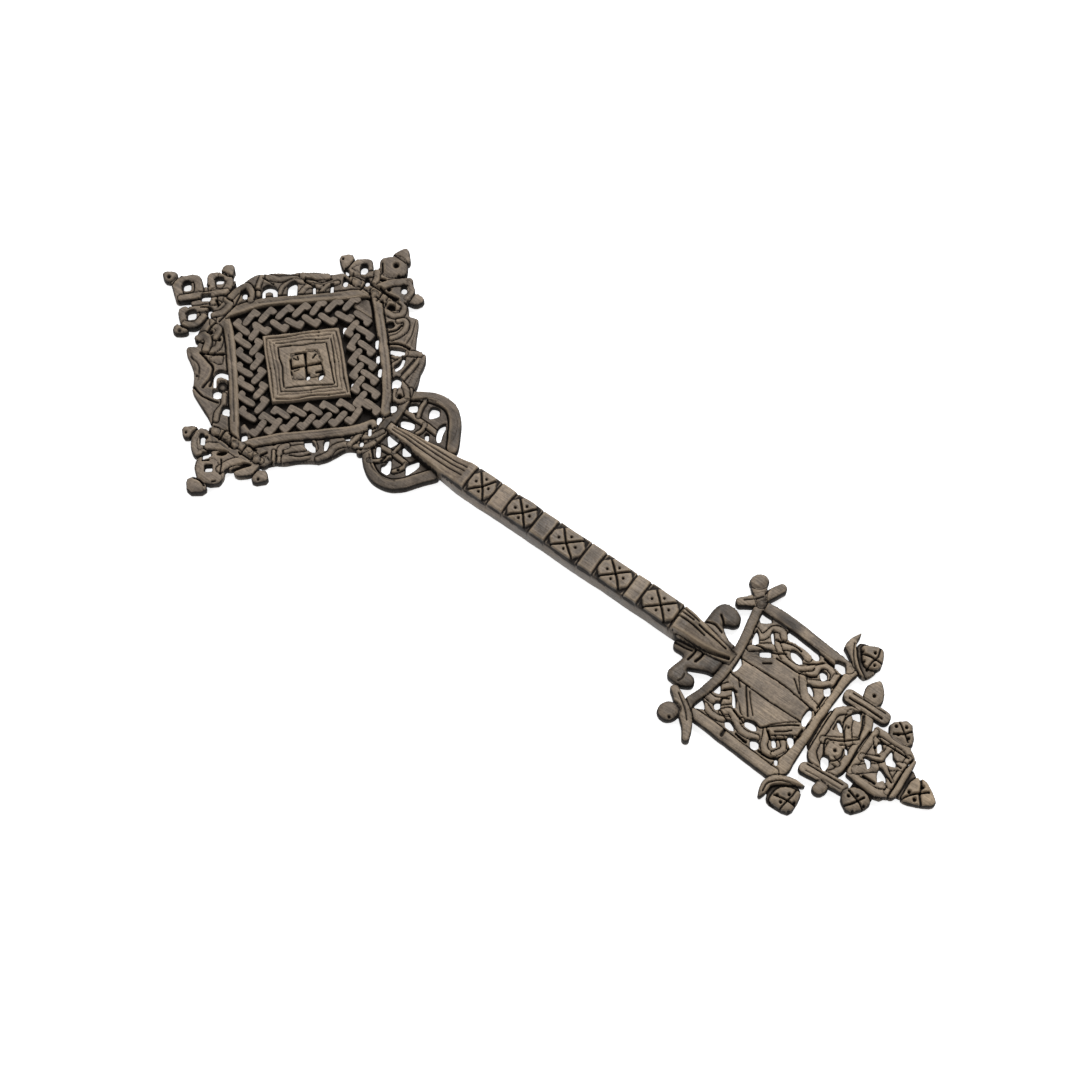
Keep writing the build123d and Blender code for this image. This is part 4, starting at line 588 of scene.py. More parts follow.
def carveNeck(cut):
    leftLobe = seen((-19, 80.4), (-22.7, 76), (-25.3, 71.5), (-26.1, 67), (-25.3, 62.5), (-22.8, 58.2), (-19.2, 55), (-14.6, 52.4), (-11, 50),
                    (-8, 47), (-4, 47), (-1, 52), (-1, 79))
    rightLobe = seen((19, 80.6), (21.9, 75), (24, 70), (24.3, 66.5), (23.6, 61.3), (20.6, 56.8), (16, 53.2), (11, 50.6), (7, 48.6), (3.5, 47.6), (0, 52), (0, 79))
    plate(seen((-18.9, 80.8), (-17, 78), (17, 78), (19.2, 80.4), (19, 84), (13, 87.4), (5, 85.6), (-5, 85.6), (-11, 88), (-18.6, 86)), cut["strap"] - 0.5, walled=True)
    plate(leftLobe, cut["web"], walled=True)
    plate(rightLobe, cut["web"])
    strap(seen((-15.6, 79.6), (-19.8, 75.6), (-22.6, 70.6), (-23, 66), (-21.6, 61.4), (-18, 57.4), (-13, 54), (-7.6, 50)), (4.2, 4.8, 5.0, 4.8), cut["rim"], moat=0.7)
    strap(seen((16, 79.6), (19, 75.4), (21.2, 70.6), (21.8, 66), (20.8, 61.6), (17.6, 57.8), (12.6, 54.2), (6.6, 51)), (4.2, 5.0, 5.2, 5.2), cut["rim"], moat=0.7)
    groove(seen((-16.4, 77.6), (-19.8, 74), (-21, 70), (-21.2, 65.4), (-19.8, 61.6)), 0.8, 0.8)
    groove(seen((15.4, 77.2), (18.2, 73.6), (19.6, 69.6)), 0.8, 0.7)
    # webs
    strap(seen((-11.2, 79), (-10.2, 72), (-10.2, 66), (-10.6, 61)), 2.4, 4.6)
    strap(seen((-18.6, 76), (-15.4, 72.4), (-12, 70)), 1.9, 4.4)
    strap(seen((-16.4, 64.8), (-13.6, 63), (-11, 62.4)), 2.0, 4.3)
    strap(seen((-9.2, 69.8), (-6, 69.6), (-3.6, 69.6)), 1.8, 4.3)
    strap(seen((8.8, 78.4), (8.9, 72), (8.8, 66), (8.4, 61)), 2.6, 4.6)
    strap(seen((10.2, 71.6), (13.4, 72.8), (17.4, 73.4)), 2.0, 4.4)
    strap(seen((3.4, 67.4), (6, 66.6), (8.6, 67)), 1.9, 4.4)
    groove(seen((-15.6, 72), (-13.2, 71.6)), 1.4, 2.2)
    pit(seen((-14.8, 63.7))[0], 0.8, 2.4)
    pierceLine(seen((-14.1, 74.7), (-12.4, 75.7)), 1.9)
    pierce(seen((-9.2, 72.7), (-5, 76.9), (-3.4, 76), (-3.4, 71.4), (-5, 71)), cuts=1)
    pierce(seen((-19.4, 69.2), (-18.4, 70), (-16.8, 68.8), (-13.7, 69), (-14.2, 67.4), (-19, 65.4)), cuts=1)
    pierce(seen((-8.4, 66), (-6.6, 67.6), (-5, 66.8), (-5.2, 64.6), (-6, 63.2), (-7.4, 64.4)))
    pierce(seen((-14.6, 60), (-12.2, 61.7), (-9.6, 60.2), (-7, 58.4), (-8, 57.3), (-11, 58), (-14.4, 59.2)))
    pierce(seen((2.3, 75.2), (3.9, 75.6), (5.7, 72), (5.9, 70), (3.9, 69.8), (2.7, 72.4)), cuts=1)
    pierceLine(seen((10.8, 75.8), (12.1, 74.4)), 2.0)
    pierce(seen((12, 67.2), (13.6, 68.5), (16, 68.6), (16.9, 65.8), (15.8, 64.3), (14, 65.6)))
    pierceDot(seen((4, 62.5))[0], 0.9)
    pierce(seen((5.2, 58.2), (6.6, 59.6), (10, 60.8), (12, 60), (13.2, 58.7), (9, 58.2), (6.2, 56.9)))
    # the neck's crossing straps
    strap(seen((-17.8, 81.6), (-12, 79.8), (-6, 79.4), (0, 79.6), (5, 79.2), (12, 79.6), (17.4, 81.4)), (2.6, 3.4, 4.6, 4.6, 3.2, 2.6), cut["strap"] - 0.3, moat=0.6)
    strap(seen((-17.4, 87), (-13.4, 86.4), (-9.4, 86.9)), 2.4, cut["strap"] - 0.1)
    strap(seen((-16.8, 84.6), (-14, 80.8), (-11, 79.2)), 2.2, cut["strap"] - 0.2)
    strap(seen((-11.6, 84.4), (-8.6, 81.2), (-4.6, 79.4)), 2.2, cut["strap"] - 0.2)
    strap(seen((14.4, 87.2), (10.4, 85), (10.8, 81.6), (14.2, 80.2)), 2.3, cut["strap"])
    strap(seen((18, 86.6), (17, 83.4), (14.6, 80.6)), 2.4, cut["strap"] - 0.1)
    groove(seen((-16.4, 85.4), (-12.6, 84.9), (-10, 85.2)), 0.9, 1.7)
    groove(seen((-5.4, 82.6), (-4.6, 84.6)), 0.8, 1.2)
    groove(seen((2.4, 82), (3.4, 80.6)), 0.8, 1.0)


def pierceNeck():                          # after the bars, which run down into the neck
    pierceDot(seen((-14.7, 82.7))[0], 0.9)
    pierceLine(seen((-8.9, 82.8), (-7.7, 83.7)), 1.5)
    pierce(seen((-2.8, 84.2), (-1, 84.8), (0, 83.4), (-1.2, 82.2)))
    pierce(seen((4.6, 82), (6.4, 83.8), (8, 82), (7.4, 80.6), (5.8, 80.4)))
    pit(seen((12.6, 83.2))[0], 1.5, 3.4)
    pierce(seen((13.8, 88.2), (15.8, 90), (18.2, 89), (18.2, 86.2), (16.2, 85.7)))
    pit(seen((-16.6, 81.6))[0], 0.6, 1.6)


handleCut = {
    "x": -0.7,
    "alongs": (-98.5, -94, -84, -76, -70.5, 38, 45, 60, 78.5),     # y of each section
    "feet": (2.6, 3.6, 5.0, 6.2, 6.3, 6.3, 5.6, 4.0, 1.9),         # half width below
    "faces": (1.4, 2.2, 3.6, 5.0, 5.4, 5.4, 4.8, 3.3, 1.5),        # half width of the top face
    "tops": (5.8, 7.4, 9.8, 11.8, 12.3, 12.0, 9.6, 8.0, 6.3),
    "drops": (0.8, 1.4, 2.0, 2.4, 2.6, 2.6, 2.2, 1.8, 1.0),        # how far the long chamfers fall
    "panels": ((23.0, 35.0), (1.0, 14.6), (-23.2, -6.8), (-46.8, -31.3), (-70.6, -53.6)),
    "shift": 0.35,                                                 # how far a panel's middle strays
}


def carveHandle(cut):
    x0 = cut["x"]
    win = windowOf([(x0 - 9, cut["alongs"][0]), (x0 + 9, cut["alongs"][-1])], 1.0)
    px, py = handX[win], handY[win]
    middle = x0 + np.interp(py, (-98, -70, 40, 78), (-0.6, 0, 0, 0.5))
    across = np.abs(px - middle)
    half = np.interp(py, cut["alongs"], cut["feet"])
    face = np.interp(py, cut["alongs"], cut["faces"])
    top = np.interp(py, cut["alongs"], cut["tops"])
    drop = np.interp(py, cut["alongs"], cut["drops"])
    along = np.minimum(py - cut["alongs"][0], cut["alongs"][-1] - py)
    inside = np.minimum(half - across, along)
    fall = np.clip((across - face) / np.maximum(half - face, 0.1), 0, 1.2)
    height = top - drop * fall - 0.35 * np.clip(across / face, 0, 1) ** 2
    share = softStep(inside + 0.1, 0.35)
    under = np.where(solid[win] < -0.1, height, heights[win])
    under = np.maximum(under - 1.0 * np.clip(1 + inside / 0.7, 0, 1) * (inside < 0), np.minimum(under, 1.4))
    heights[win] = np.where(inside > -0.7, under * (1 - share) + height * share, heights[win])
    solid[win] = np.maximum(solid[win], inside)
    stray = np.random.RandomState(41).uniform(-cut["shift"], cut["shift"], (len(cut["panels"]), 6))
    for (low, high), (a, b, c, d, e, f) in zip(cut["panels"], stray):
        chipPanel(x0 - 0.3 + a, (low + high) / 2 + b, (high - low) / 2, 5.2, (c, d, e, f))
    left, right = x0 - 5.2, x0 + 5.2
    groove([(left - 1, -70.4), (right + 1, -70.2)], 1.2, 1.8)
    for shift in (-1.6, 0.3, 2.0):         # long grooves of the upper taper
        groove([(x0 + 0.9 + shift * 0.7, 76), (x0 + 0.5 + shift, 58), (x0 + shift * 1.2, 38.5)], 0.8, 0.9)
    groove([(x0 - 5.8, -72), (x0 - 5.0, -82), (x0 - 3.4, -91), (x0 - 1.4, -97)], 1.7, 2.6)
    groove([(x0 + 0.4, -70.5), (x0 + 0.6, -76), (x0 + 0.2, -84)], 1.0, 1.3)
    groove([(x0 + 2.6, -70.8), (x0 + 2.6, -77)], 0.8, 1.0)
    groove([(x0 + 4.2, -70.8), (x0 + 3.6, -79)], 0.8, 1.1)
    groove([(x0 + 2.2, -80), (x0 + 1.8, -88), (x0 + 1.2, -94)], 1.0, 1.5)


def chipPanel(x, y, long, half, stray):    # a lozenge cut into four by a cross, a pip in each
    a, b, c, d = stray
    for side in (-1, 1):
        for end in (-1, 1):
            corner = (x + side * (half + 1.6), y + end * long)
            chip = [corner, (x + side * (half + 1.6), y + end * long * 0.22), (x + side * half * 0.2, y + end * long)]
            sink(chip, 10.2, cuts=0, bevel=1.4)
            # painted shade in each notch, heavier on the left side, away from the key light
            shade(recessShade, chip, 0.26 if side > 0 else 0.42, 0.7)
    for end in (-1, 1):
        groove([(x - half - 1.6, y + end * long + a * 0.6), (x + half + 1.6, y + end * long + b * 0.6)], 1.2, 1.9)
    groove([(x - half * 0.86 + a, y + long * 0.62), (x + b, y + c), (x + half * 0.86, y - long * 0.58 + d)], 1.2, 1.8)
    groove([(x - half * 0.86 + c, y - long * 0.6), (x + b, y + c), (x + half * 0.86, y + long * 0.58 + a)], 1.2, 1.8)
    for px, py in ((x + d, y + long * 0.5), (x + a, y - long * 0.5), (x - half * 0.58, y + b), (x + half * 0.6, y + d)):
        pit((px, py), 0.7, 1.5)


def carveCurls():
    dome(seen((-23.8, -84.6), (-23.7, -81.4), (-21.4, -79.4), (-17.4, -79.8), (-12.6, -81.4), (-11.6, -79.8), (-11.9, -75.6), (-9.4, -74), (-3, -74), (-2, -97), (-12, -96),
              (-12.3, -93), (-15, -87.4), (-15.8, -85.4), (-17, -86), (-17.2, -89.3), (-18.8, -91.6), (-21.4, -91.6), (-23.6, -88.4)), 5.3, crown=0.9, cuts=2)
    dome(seen((2.5, -78), (5, -79.4), (13, -79.4), (16.4, -81), (17.6, -84), (16.9, -88.5), (15, -91.3), (12.4, -92.2), (10.2, -90.8), (9.2, -88.2), (8.2, -86.6),
              (6.2, -89), (4.2, -92.6), (4, -97), (-1, -97)), 5.3, crown=0.9, cuts=2)
    groove(seen((11.2, -83.6), (9.6, -85.8), (8.4, -86.8)), 1.0, 1.8)
    groove(seen((5.4, -80.4), (6.2, -84), (5.2, -88)), 1.1, 1.4)
    groove(seen((-12.6, -83.4), (-9.8, -83.9), (-7.4, -83.9)), 1.1, 1.9)
    groove(seen((-11.6, -86.4), (-9, -87), (-6.6, -87.2)), 1.4, 2.2)
    groove(seen((-22.4, -85.6), (-20.6, -86.4), (-18.6, -86)), 0.8, 0.8)
    groove(seen((-9.6, -75.2), (-9.4, -79), (-8.6, -82.6)), 1.1, 1.4)


# ---- the foot: base, lower cross, rosette and last bud
footCut = {"bar": 5.4, "strap": 5.9, "leaf": 4.9, "tracery": 4.4, "ribbon": 4.8, "bud": 5.3}


def carveBase(cut):
    sheet = seen((-31, -97), (-22, -96), (-10, -99), (6, -99), (22, -95), (26, -97), (24, -139), (-30, -140))
    plate(sheet, cut["tracery"], cuts=0)
    # ribbons of the left tracery
    for points, width in (
        (seen((-24.6, -100.4), (-26, -104), (-25.8, -108.4), (-23, -113.2), (-21.2, -116)), 2.4),
        (seen((-20.4, -98.6), (-20.6, -102.4), (-18.6, -105.6), (-16, -108)), 3.0),
        (seen((-13.8, -101.8), (-11.4, -104), (-10.6, -107), (-14, -111.4), (-17.4, -114.6)), 2.6),
        (seen((-22.8, -107.6), (-20.6, -110.2), (-22.2, -113.8), (-24.4, -117), (-25, -121), (-23.8, -125)), 2.6),
        (seen((-18, -126.4), (-21.6, -128), (-25, -129.4), (-26.6, -132.4), (-25, -135.8), (-21.6, -137.4)), 2.6),
        (seen((-25.4, -134.6), (-21.4, -136.4), (-18.4, -134), (-17.6, -131.4)), 2.2),
    ):
        strap(points, width, cut["ribbon"], grow=False, depth=1.6)
    for points, width in (                 # ribbons of the right one
        (seen((14.6, -98.6), (13.4, -102), (16, -103.6), (19.2, -104.6), (20.4, -107.8), (18.6, -110)), 2.6),
        (seen((7, -101.4), (10.6, -105.6), (13.4, -109.8), (16.2, -113.6), (17.6, -118), (17, -123)), 3.0),
        (seen((15, -108.6), (12.6, -112), (10.8, -116), (11, -121.6), (14, -126.2), (17.6, -129.6)), 2.2),
        (seen((10.2, -125.8), (12.6, -128.6), (16.6, -129), (18.6, -131.6), (17.4, -135.2), (14.2, -136.8)), 2.4),
        (seen((7.8, -128.4), (10.2, -132.4), (13.4, -136.6), (17, -137)), 2.8),
    ):
        strap(points, width, cut["ribbon"], grow=False, depth=1.6)
    # the leaf
    plate(seen((-10, -100.5), (-12.4, -106), (-16.6, -111.6), (-19.4, -115.2), (-20.4, -119.4), (-19.7, -123.6), (-15, -129.6), (-11, -134.6), (-9, -138),
               (1.5, -138.6), (5, -132.5), (9.6, -126.8), (10.4, -121), (10.2, -113), (6.8, -107.6), (3.6, -100.6)), cut["leaf"], cuts=1)
    strap(seen((-17.4, -128.4), (-14, -132.4), (-10.6, -137.2)), (4.2, 5.0, 5.4), 5.2)
    groove(seen((-17.5, -129.8), (-15, -132.8), (-13, -134.9)), 0.9, 1.2)
    strap(seen((9.4, -125.2), (5, -128.8), (1.9, -132), (0.6, -137.6)), (2.6, 3.2, 3.4), 5.1)
    strap(seen((-3.2, -102.4), (-3.3, -112), (-3.4, -122), (-4.2, -136.8)), (7.2, 8.4, 8.6, 6.8), 5.3, crown=0.25, moat=0.8, depth=1.6)
    groove(seen((-8.2, -109.6), (-13, -113), (-18.4, -117.2)), 0.9, 1.3)
    groove(seen((-9.2, -112), (-12.4, -114.4), (-17, -118.6)), 0.7, 0.9)
    groove(seen((4, -109.2), (6, -112)), 0.9, 1.2)
    groove(seen((6, -123.5), (1.9, -128.6)), 0.8, 1.1)
    groove(seen((-6.9, -105), (-9.8, -107.6)), 0.8, 1.0)
    for points, width, depth in (
        (seen((-20.5, -118), (-18.9, -121), (-19.3, -124), (-17.5, -126), (-12, -132.5), (-9.6, -136.2)), 0.9, 1.6),
        (seen((-18.8, -127.4), (-21, -130.2), (-19.4, -132.2), (-15, -138)), 1.3, 2.6),
        (seen((9.1, -112.6), (9.3, -118), (9.3, -123), (10.5, -127.5), (12.2, -130.2)), 1.1, 2.2),
        (seen((6.8, -129.4), (8.5, -133), (12, -137.6)), 1.1, 2.2),
        (seen((9, -102), (9.7, -104.6), (10.6, -110.6), (13, -114.6)), 1.0, 2.0),
        (seen((-27.2, -117.6), (-27.8, -122.6)), 1.5, 2.8),
        (seen((-27.9, -129), (-27.8, -134), (-26, -137), (-24.7, -138.4)), 1.4, 2.6),
        (seen((-19.5, -111), (-20.5, -114.5), (-21.5, -117.2)), 1.0, 2.0),
        (seen((-22.5, -103.3), (-20.8, -105), (-18, -104.4), (-16.6, -106.6)), 1.1, 2.2),
        (seen((-14.6, -103), (-12.3, -105.5), (-12.5, -107.6)), 1.1, 2.2),
        (seen((-22.7, -106.6), (-24.3, -110.4), (-24, -112.4)), 0.9, 1.8),
        (seen((13.9, -122.6), (16.5, -127), (18.6, -129.2)), 0.9, 1.8),
        (seen((15.6, -108.4), (17.1, -111.6), (18, -116), (17.6, -119)), 1.0, 2.0),
        (seen((20.5, -128.8), (20.3, -134)), 1.2, 2.4),
        (seen((-22.6, -138.4), (-10.6, -138.3)), 1.0, 2.4),
        (seen((1.2, -138), (7, -137.8)), 1.0, 2.4),
        (seen((12.4, -138.2), (19, -138.2)), 1.1, 2.4),
    ):
        groove(points, width, depth)
    # openings of the base
    for points in (
        seen((-28, -96.8), (-23.4, -96.9), (-24.2, -99.4), (-26, -101.6), (-27.5, -99)),
        seen((-18, -99.8), (-15.5, -99.3), (-13.8, -100.1), (-14.4, -101.4), (-17, -102.8)),
        seen((-23.8, -104.1), (-22.1, -104), (-20.8, -105.7), (-22, -106.1), (-23.5, -105.4)),
        seen((-13.1, -106.5), (-14.8, -107), (-18.8, -110), (-17.8, -111.1), (-13.7, -107.6)),
        seen((-27.5, -111.8), (-26.1, -111.8), (-25, -113.5), (-26.5, -116.6), (-27.5, -115)),
        seen((-22.4, -118.2), (-21.1, -118.7), (-20.2, -121.5), (-20.9, -123.9), (-22.4, -122.6), (-22.7, -120)),
        seen((-28.7, -125.2), (-27, -124.6), (-25.8, -126.8), (-26.4, -128.5), (-28.6, -127.8)),
        seen((-23.7, -132.9), (-22.5, -131.2), (-21, -132.1), (-22, -133.9)),
        seen((-19.1, -138.3), (-18, -136.1), (-16.5, -136.2), (-15.9, -137.9), (-17, -139.1)),
        seen((-29, -138), (-28, -137.5), (-27.1, -138.4), (-28.2, -139)),
        seen((-6.5, -101.3), (-4, -99.9), (-1, -100), (0.4, -101.1), (-1, -102.5), (-4.5, -102.6)),
        seen((-9, -137), (-6.5, -136.3), (-1.9, -136.4), (-1.6, -138), (-4.5, -138.5), (-8.6, -138.3)),
        seen((8.4, -100.5), (13.6, -99.8), (13.2, -100.8), (11, -102.9), (9.6, -102.4)),
        seen((18.1, -97.7), (23.1, -97.5), (22.9, -99.5), (21.6, -102.6), (20, -101.4)),
        seen((5.6, -106.5), (7, -105.9), (9.8, -109.8), (8, -110.7)),
        seen((13.7, -107.6), (15, -105.8), (17, -105.6), (16.8, -106.4), (14.5, -108.1)),
        seen((18.4, -111.6), (20.5, -110.8), (21.6, -111.6), (21, -120), (19.8, -127.8), (17.4, -126), (19.1, -122), (19.3, -116)),
        seen((14.1, -116), (15.2, -118), (14.7, -121.4), (13.7, -122.7), (12.4, -121), (12.7, -117.6)),
        seen((6, -130.1), (6.7, -131.5), (4.8, -134.2), (3.8, -133.7), (4.6, -131.2)),
        seen((13.3, -130.9), (15.1, -132.1), (14.8, -134.5), (13.3, -133.9), (12.1, -132.5)),
        seen((8.6, -136), (11.2, -137.8), (10.4, -138.8), (7.9, -138.7), (7.2, -137.3)),
        seen((20.5, -134.3), (21.4, -135.6), (22.1, -138.1), (21.2, -139.1), (19.5, -138.6), (19.7, -136)),
    ):
        pierce(points, cuts=1)


def carveBaseBars(cut):
    dome(seen((-30.4, -136), (-34.6, -139.4), (-34, -143), (-30, -145.4), (-24.4, -144.6), (-15, -143.8), (5, -143.2), (16, -143.4), (22.6, -144.8), (26.4, -141),
              (26, -137.6), (20, -138.6), (0, -139.2), (-20, -139)), cut["bar"], crown=0.5, cuts=1, walled=True)
    strap(seen((-30.4, -97.6), (-30.6, -104), (-31.2, -115), (-31.9, -128), (-32.4, -139)), (4.4, 4.8, 4.8, 5.0), cut["bar"], moat=0.7)
    strap(seen((25.4, -97), (25.6, -104), (25, -116), (23.8, -129), (23, -139)), (4.8, 5.4, 5.2, 4.8), cut["bar"], moat=0.7)
    strap(seen((-31, -94.6), (-26.8, -94.5), (-20, -96.5), (-13.3, -97.9), (-3, -98.3), (6, -97.6), (14, -95.9), (21, -94.6), (26, -93.6)), (4.6, 4.0, 4.2, 4.0, 4.8), cut["bar"], moat=0.6)
    groove(seen((-31.4, -113), (-29, -112.8)), 2.0, 1.9)
    pierce(seen((20.5, -133.6), (21.8, -135.4), (22.3, -138), (21.2, -139), (19.4, -138.6), (19.5, -135.8)), cuts=1)
    pierceDot(seen((-28.2, -138))[0], 0.8)
    # corner straps, knobs and buds
    strap(seen((-26.2, -86.6), (-28.6, -90.4), (-31.6, -94.8), (-35.6, -99), (-40.8, -102)), (3.8, 4.8, 5.0, 3.2), cut["strap"])
    groove(seen((-27, -89), (-30.6, -94.2), (-34.6, -98.2)), 0.8, 0.9)
    strap(seen((21, -86.4), (24.6, -90.4), (29.6, -94), (35.6, -97.2)), (4.2, 5.2, 5.2, 4.4), cut["strap"])
    dome([(x + 5.4 * math.cos(a), y + 5.2 * math.sin(a)) for x, y in seen((-35.9, -90.3)) for a in np.arange(9) * math.pi * 2 / 9], cut["bud"], 1.2, walled=True, cuts=1)
    strap(seen((32.4, -88), (28.4, -91.2), (25.4, -94)), (7.6, 5.6, 4.2), cut["bud"], crown=0.9)
    dome([(x + 4.8 * math.cos(a), y + 4.6 * math.sin(a)) for x, y in seen((32.3, -88.2)) for a in np.arange(9) * math.pi * 2 / 9], cut["bud"], 1.2, walled=True, cuts=1)
    groove(seen((27.4, -86.6), (26.6, -89.2)), 0.9, 1.6)
    groove(seen((30, -93), (32.6, -93.2)), 0.9, 1.6)
    groove(seen((22.2, -87.4), (25.4, -90.8), (28.4, -93)), 0.8, 1.0)
    pit(seen((-37.2, -91.6))[0], 0.9, 1.6)
    plate(seen((-43.6, -142), (-34, -141), (-30.6, -148), (-31.6, -153.4), (-42.2, -153.4), (-43.6, -150)), 3.2)
    dome(seen((-45.4, -141.4), (-44.4, -139.6), (-40, -137.6), (-35.6, -137.8), (-31.5, -141), (-28.9, -146.6), (-29, -153.6), (-31.4, -153.9), (-33, -149.6),
              (-35.6, -145.4), (-38.4, -142.6), (-42, -142.4)), cut["strap"] - 0.2, crown=0.5, cuts=1, walled=True)
    groove(seen((-41, -139.9), (-37.6, -139.8), (-33.8, -142.6), (-31.6, -147), (-30.5, -151.8)), 0.9, 1.4)
    dome(seen((-44.4, -145.2), (-41.4, -143.4), (-36, -144), (-33, -147), (-32, -153.4), (-36, -155), (-43.8, -155.4), (-45.2, -150.6)), cut["bud"], 0.8, cuts=1, walled=True)
    for centre in ((-40.6, -148.3), (-42, -153.2), (-37.8, -153), (-35.9, -149.4), (-38.9, -145.6)):
        pit(seen(centre)[0], 0.9, 2.2)
    groove(seen((-39.6, -144.4), (-38.6, -149), (-38.6, -154.4)), 1.0, 1.9)
    groove(seen((-44.2, -149.6), (-40.6, -149.9), (-36.4, -150.6), (-32.8, -150.8)), 1.0, 1.8)
    plate(seen((22.8, -146), (30, -136.4), (35.6, -136), (37, -141), (37.4, -145.4), (29, -149), (24.8, -147.8)), 3.2)
    dome(seen((21.2, -146.6), (23, -141.6), (26.4, -136.4), (28.4, -132.4), (33, -131.9), (36.6, -133.4), (39.6, -135), (36, -136.4), (32.2, -136.4), (29.2, -139),
              (26.4, -142), (24.2, -145.2), (22.2, -148.6)), cut["strap"], crown=0.5, cuts=1, walled=True)
    groove(seen((23.6, -143.2), (26, -139.8), (29.6, -136.8), (33, -135)), 0.8, 1.2)
    dome(seen((26.6, -143.6), (30.4, -140.2), (34.4, -137.4), (37, -140.8), (39, -145.8), (33.4, -149.4), (28.3, -150.7), (26, -147)), cut["bud"], 0.8, cuts=1, walled=True)
    for centre in ((29.2, -142.3), (32.4, -139.4), (30, -146.7), (34.6, -144), (28.6, -148.4)):
        pit(seen(centre)[0], 0.8, 2.2)
    groove(seen((27, -145.2), (31, -145.2), (34, -145.8), (38, -144.6)), 1.0, 1.9)
    groove(seen((31.4, -139.6), (32.2, -143.4), (32.4, -149)), 1.0, 1.9)


def carveLowerCross(cut):
    plate(seen((-15, -142.4), (5, -141.9), (5, -147), (-14, -147)), 3.2)
    plate(seen((-12.6, -158), (5.4, -158), (6, -166), (-13, -166)), 3.0)
    plate(seen((13, -150.6), (19.4, -151), (19.4, -157), (13, -157)), 3.2)
    plate(seen((-20, -149), (-16, -145), (-4, -143), (5, -144), (10, -148.6), (11.5, -156), (9, -160), (5, -162.2), (-13, -162.6), (-18, -161), (-20.6, -156)), cut["tracery"])
    strap(seen((-19.6, -151.6), (-16.8, -147.6), (-13.4, -145.9), (-4, -145.2), (4, -145.1), (7.4, -148), (9.6, -151.6)), 3.6, 5.2)
    strap(seen((-20.4, -156.4), (-17.2, -159.4), (-11, -159.9), (0, -160.2), (6.4, -159.4), (11.4, -156.6)), 3.4, 5.2)
    strap(seen((-8.6, -147.6), (-5.4, -153), (-1.4, -158.6)), 3.0, 5.0, grow=False)
    strap(seen((-13.8, -157.8), (-12.4, -152.4), (-8.4, -151)), 2.4, 4.9, grow=False)
    strap(seen((-3.6, -156.6), (2, -152.2), (7.4, -150.6)), 3.0, 4.9, grow=False)
    plate(seen((-13.4, -152.2), (-8.8, -149.8), (-6, -153.6), (-7.4, -156.4), (-11, -156.8)), 5.0, grow=False)
    for points, width, depth in (
        (seen((-14, -151.3), (-8.3, -148.3), (-6.5, -150.5), (-5, -153.6), (-0.6, -158.9), (1, -158.8), (6, -156.8), (9.4, -155)), 0.9, 1.8),
        (seen((-13.9, -151.8), (-13.8, -155.5), (-10.5, -157.4), (-7.2, -156.6)), 0.9, 1.8),
        (seen((-4, -154.9), (-1, -152.8), (1.6, -151.8)), 0.8, 1.4),
        (seen((2.5, -150), (6.2, -150.4), (9.8, -154)), 0.9, 1.8),
        (seen((-15.4, -144.9), (-6, -144.3), (4.6, -143.8)), 1.0, 2.2),
        (seen((-18.4, -160.9), (-13, -162), (-4, -161.2), (5, -161)), 1.0, 2.4),
        (seen((-2.4, -148.2), (1, -147.9)), 0.8, 1.4),
    ):
        groove(points, width, depth)
    pit(seen((-9.6, -154))[0], 1.0, 2.0)
    pit(seen((1.6, -153))[0], 0.8, 1.6)
    pierce(seen((-19.2, -154.4), (-18, -152.5), (-15, -151.9), (-14.4, -154.8), (-16.5, -155.5), (-19, -155.4)), cuts=1)
    pierce(seen((0.1, -148.6), (0.8, -149.7), (-0.9, -152.5), (-2.1, -151.7), (-0.9, -149.5)), cuts=1)
    pierce(seen((6.1, -151.3), (8.9, -153.8), (8.2, -155), (6.4, -155.4), (5.9, -153.5)), cuts=1)
    pierce(seen((-7, -157.3), (-7.1, -159.1), (-8.8, -159.2), (-8.3, -158)), cuts=1)
    strap(seen((-22.7, -148.4), (-21.8, -156), (-20.9, -165)), 5.4, 5.3, moat=0.6)
    strap(seen((13.4, -146), (13.6, -154), (13.6, -162)), 6.0, 5.3, moat=0.6)
    groove(seen((-21, -148.4), (-20.6, -156), (-20, -164.6)), 0.9, 1.3)
    groove(seen((-23.8, -149.4), (-23, -157), (-22.2, -164.8)), 0.7, 0.6)
    groove(seen((12.4, -146.4), (12.7, -154), (12.5, -161.6)), 1.1, 1.8)
    groove(seen((15, -146.6), (15.2, -154), (15.2, -161.6)), 0.8, 0.9)
    dome(seen((-23.6, -155.2), (-28.2, -154.8), (-31, -157.6), (-30.6, -160.8), (-27.4, -162.4), (-23.6, -161)), cut["bud"], 1.1, cuts=1, walled=True)
    dome(seen((15.4, -150.4), (20.8, -148.9), (24, -150.2), (27, -152.7), (23.4, -156.6), (18.4, -158.4), (15.4, -157.2)), cut["bud"], 0.9, cuts=1)
    pit(seen((18.8, -153.9))[0], 1.0, 2.2)


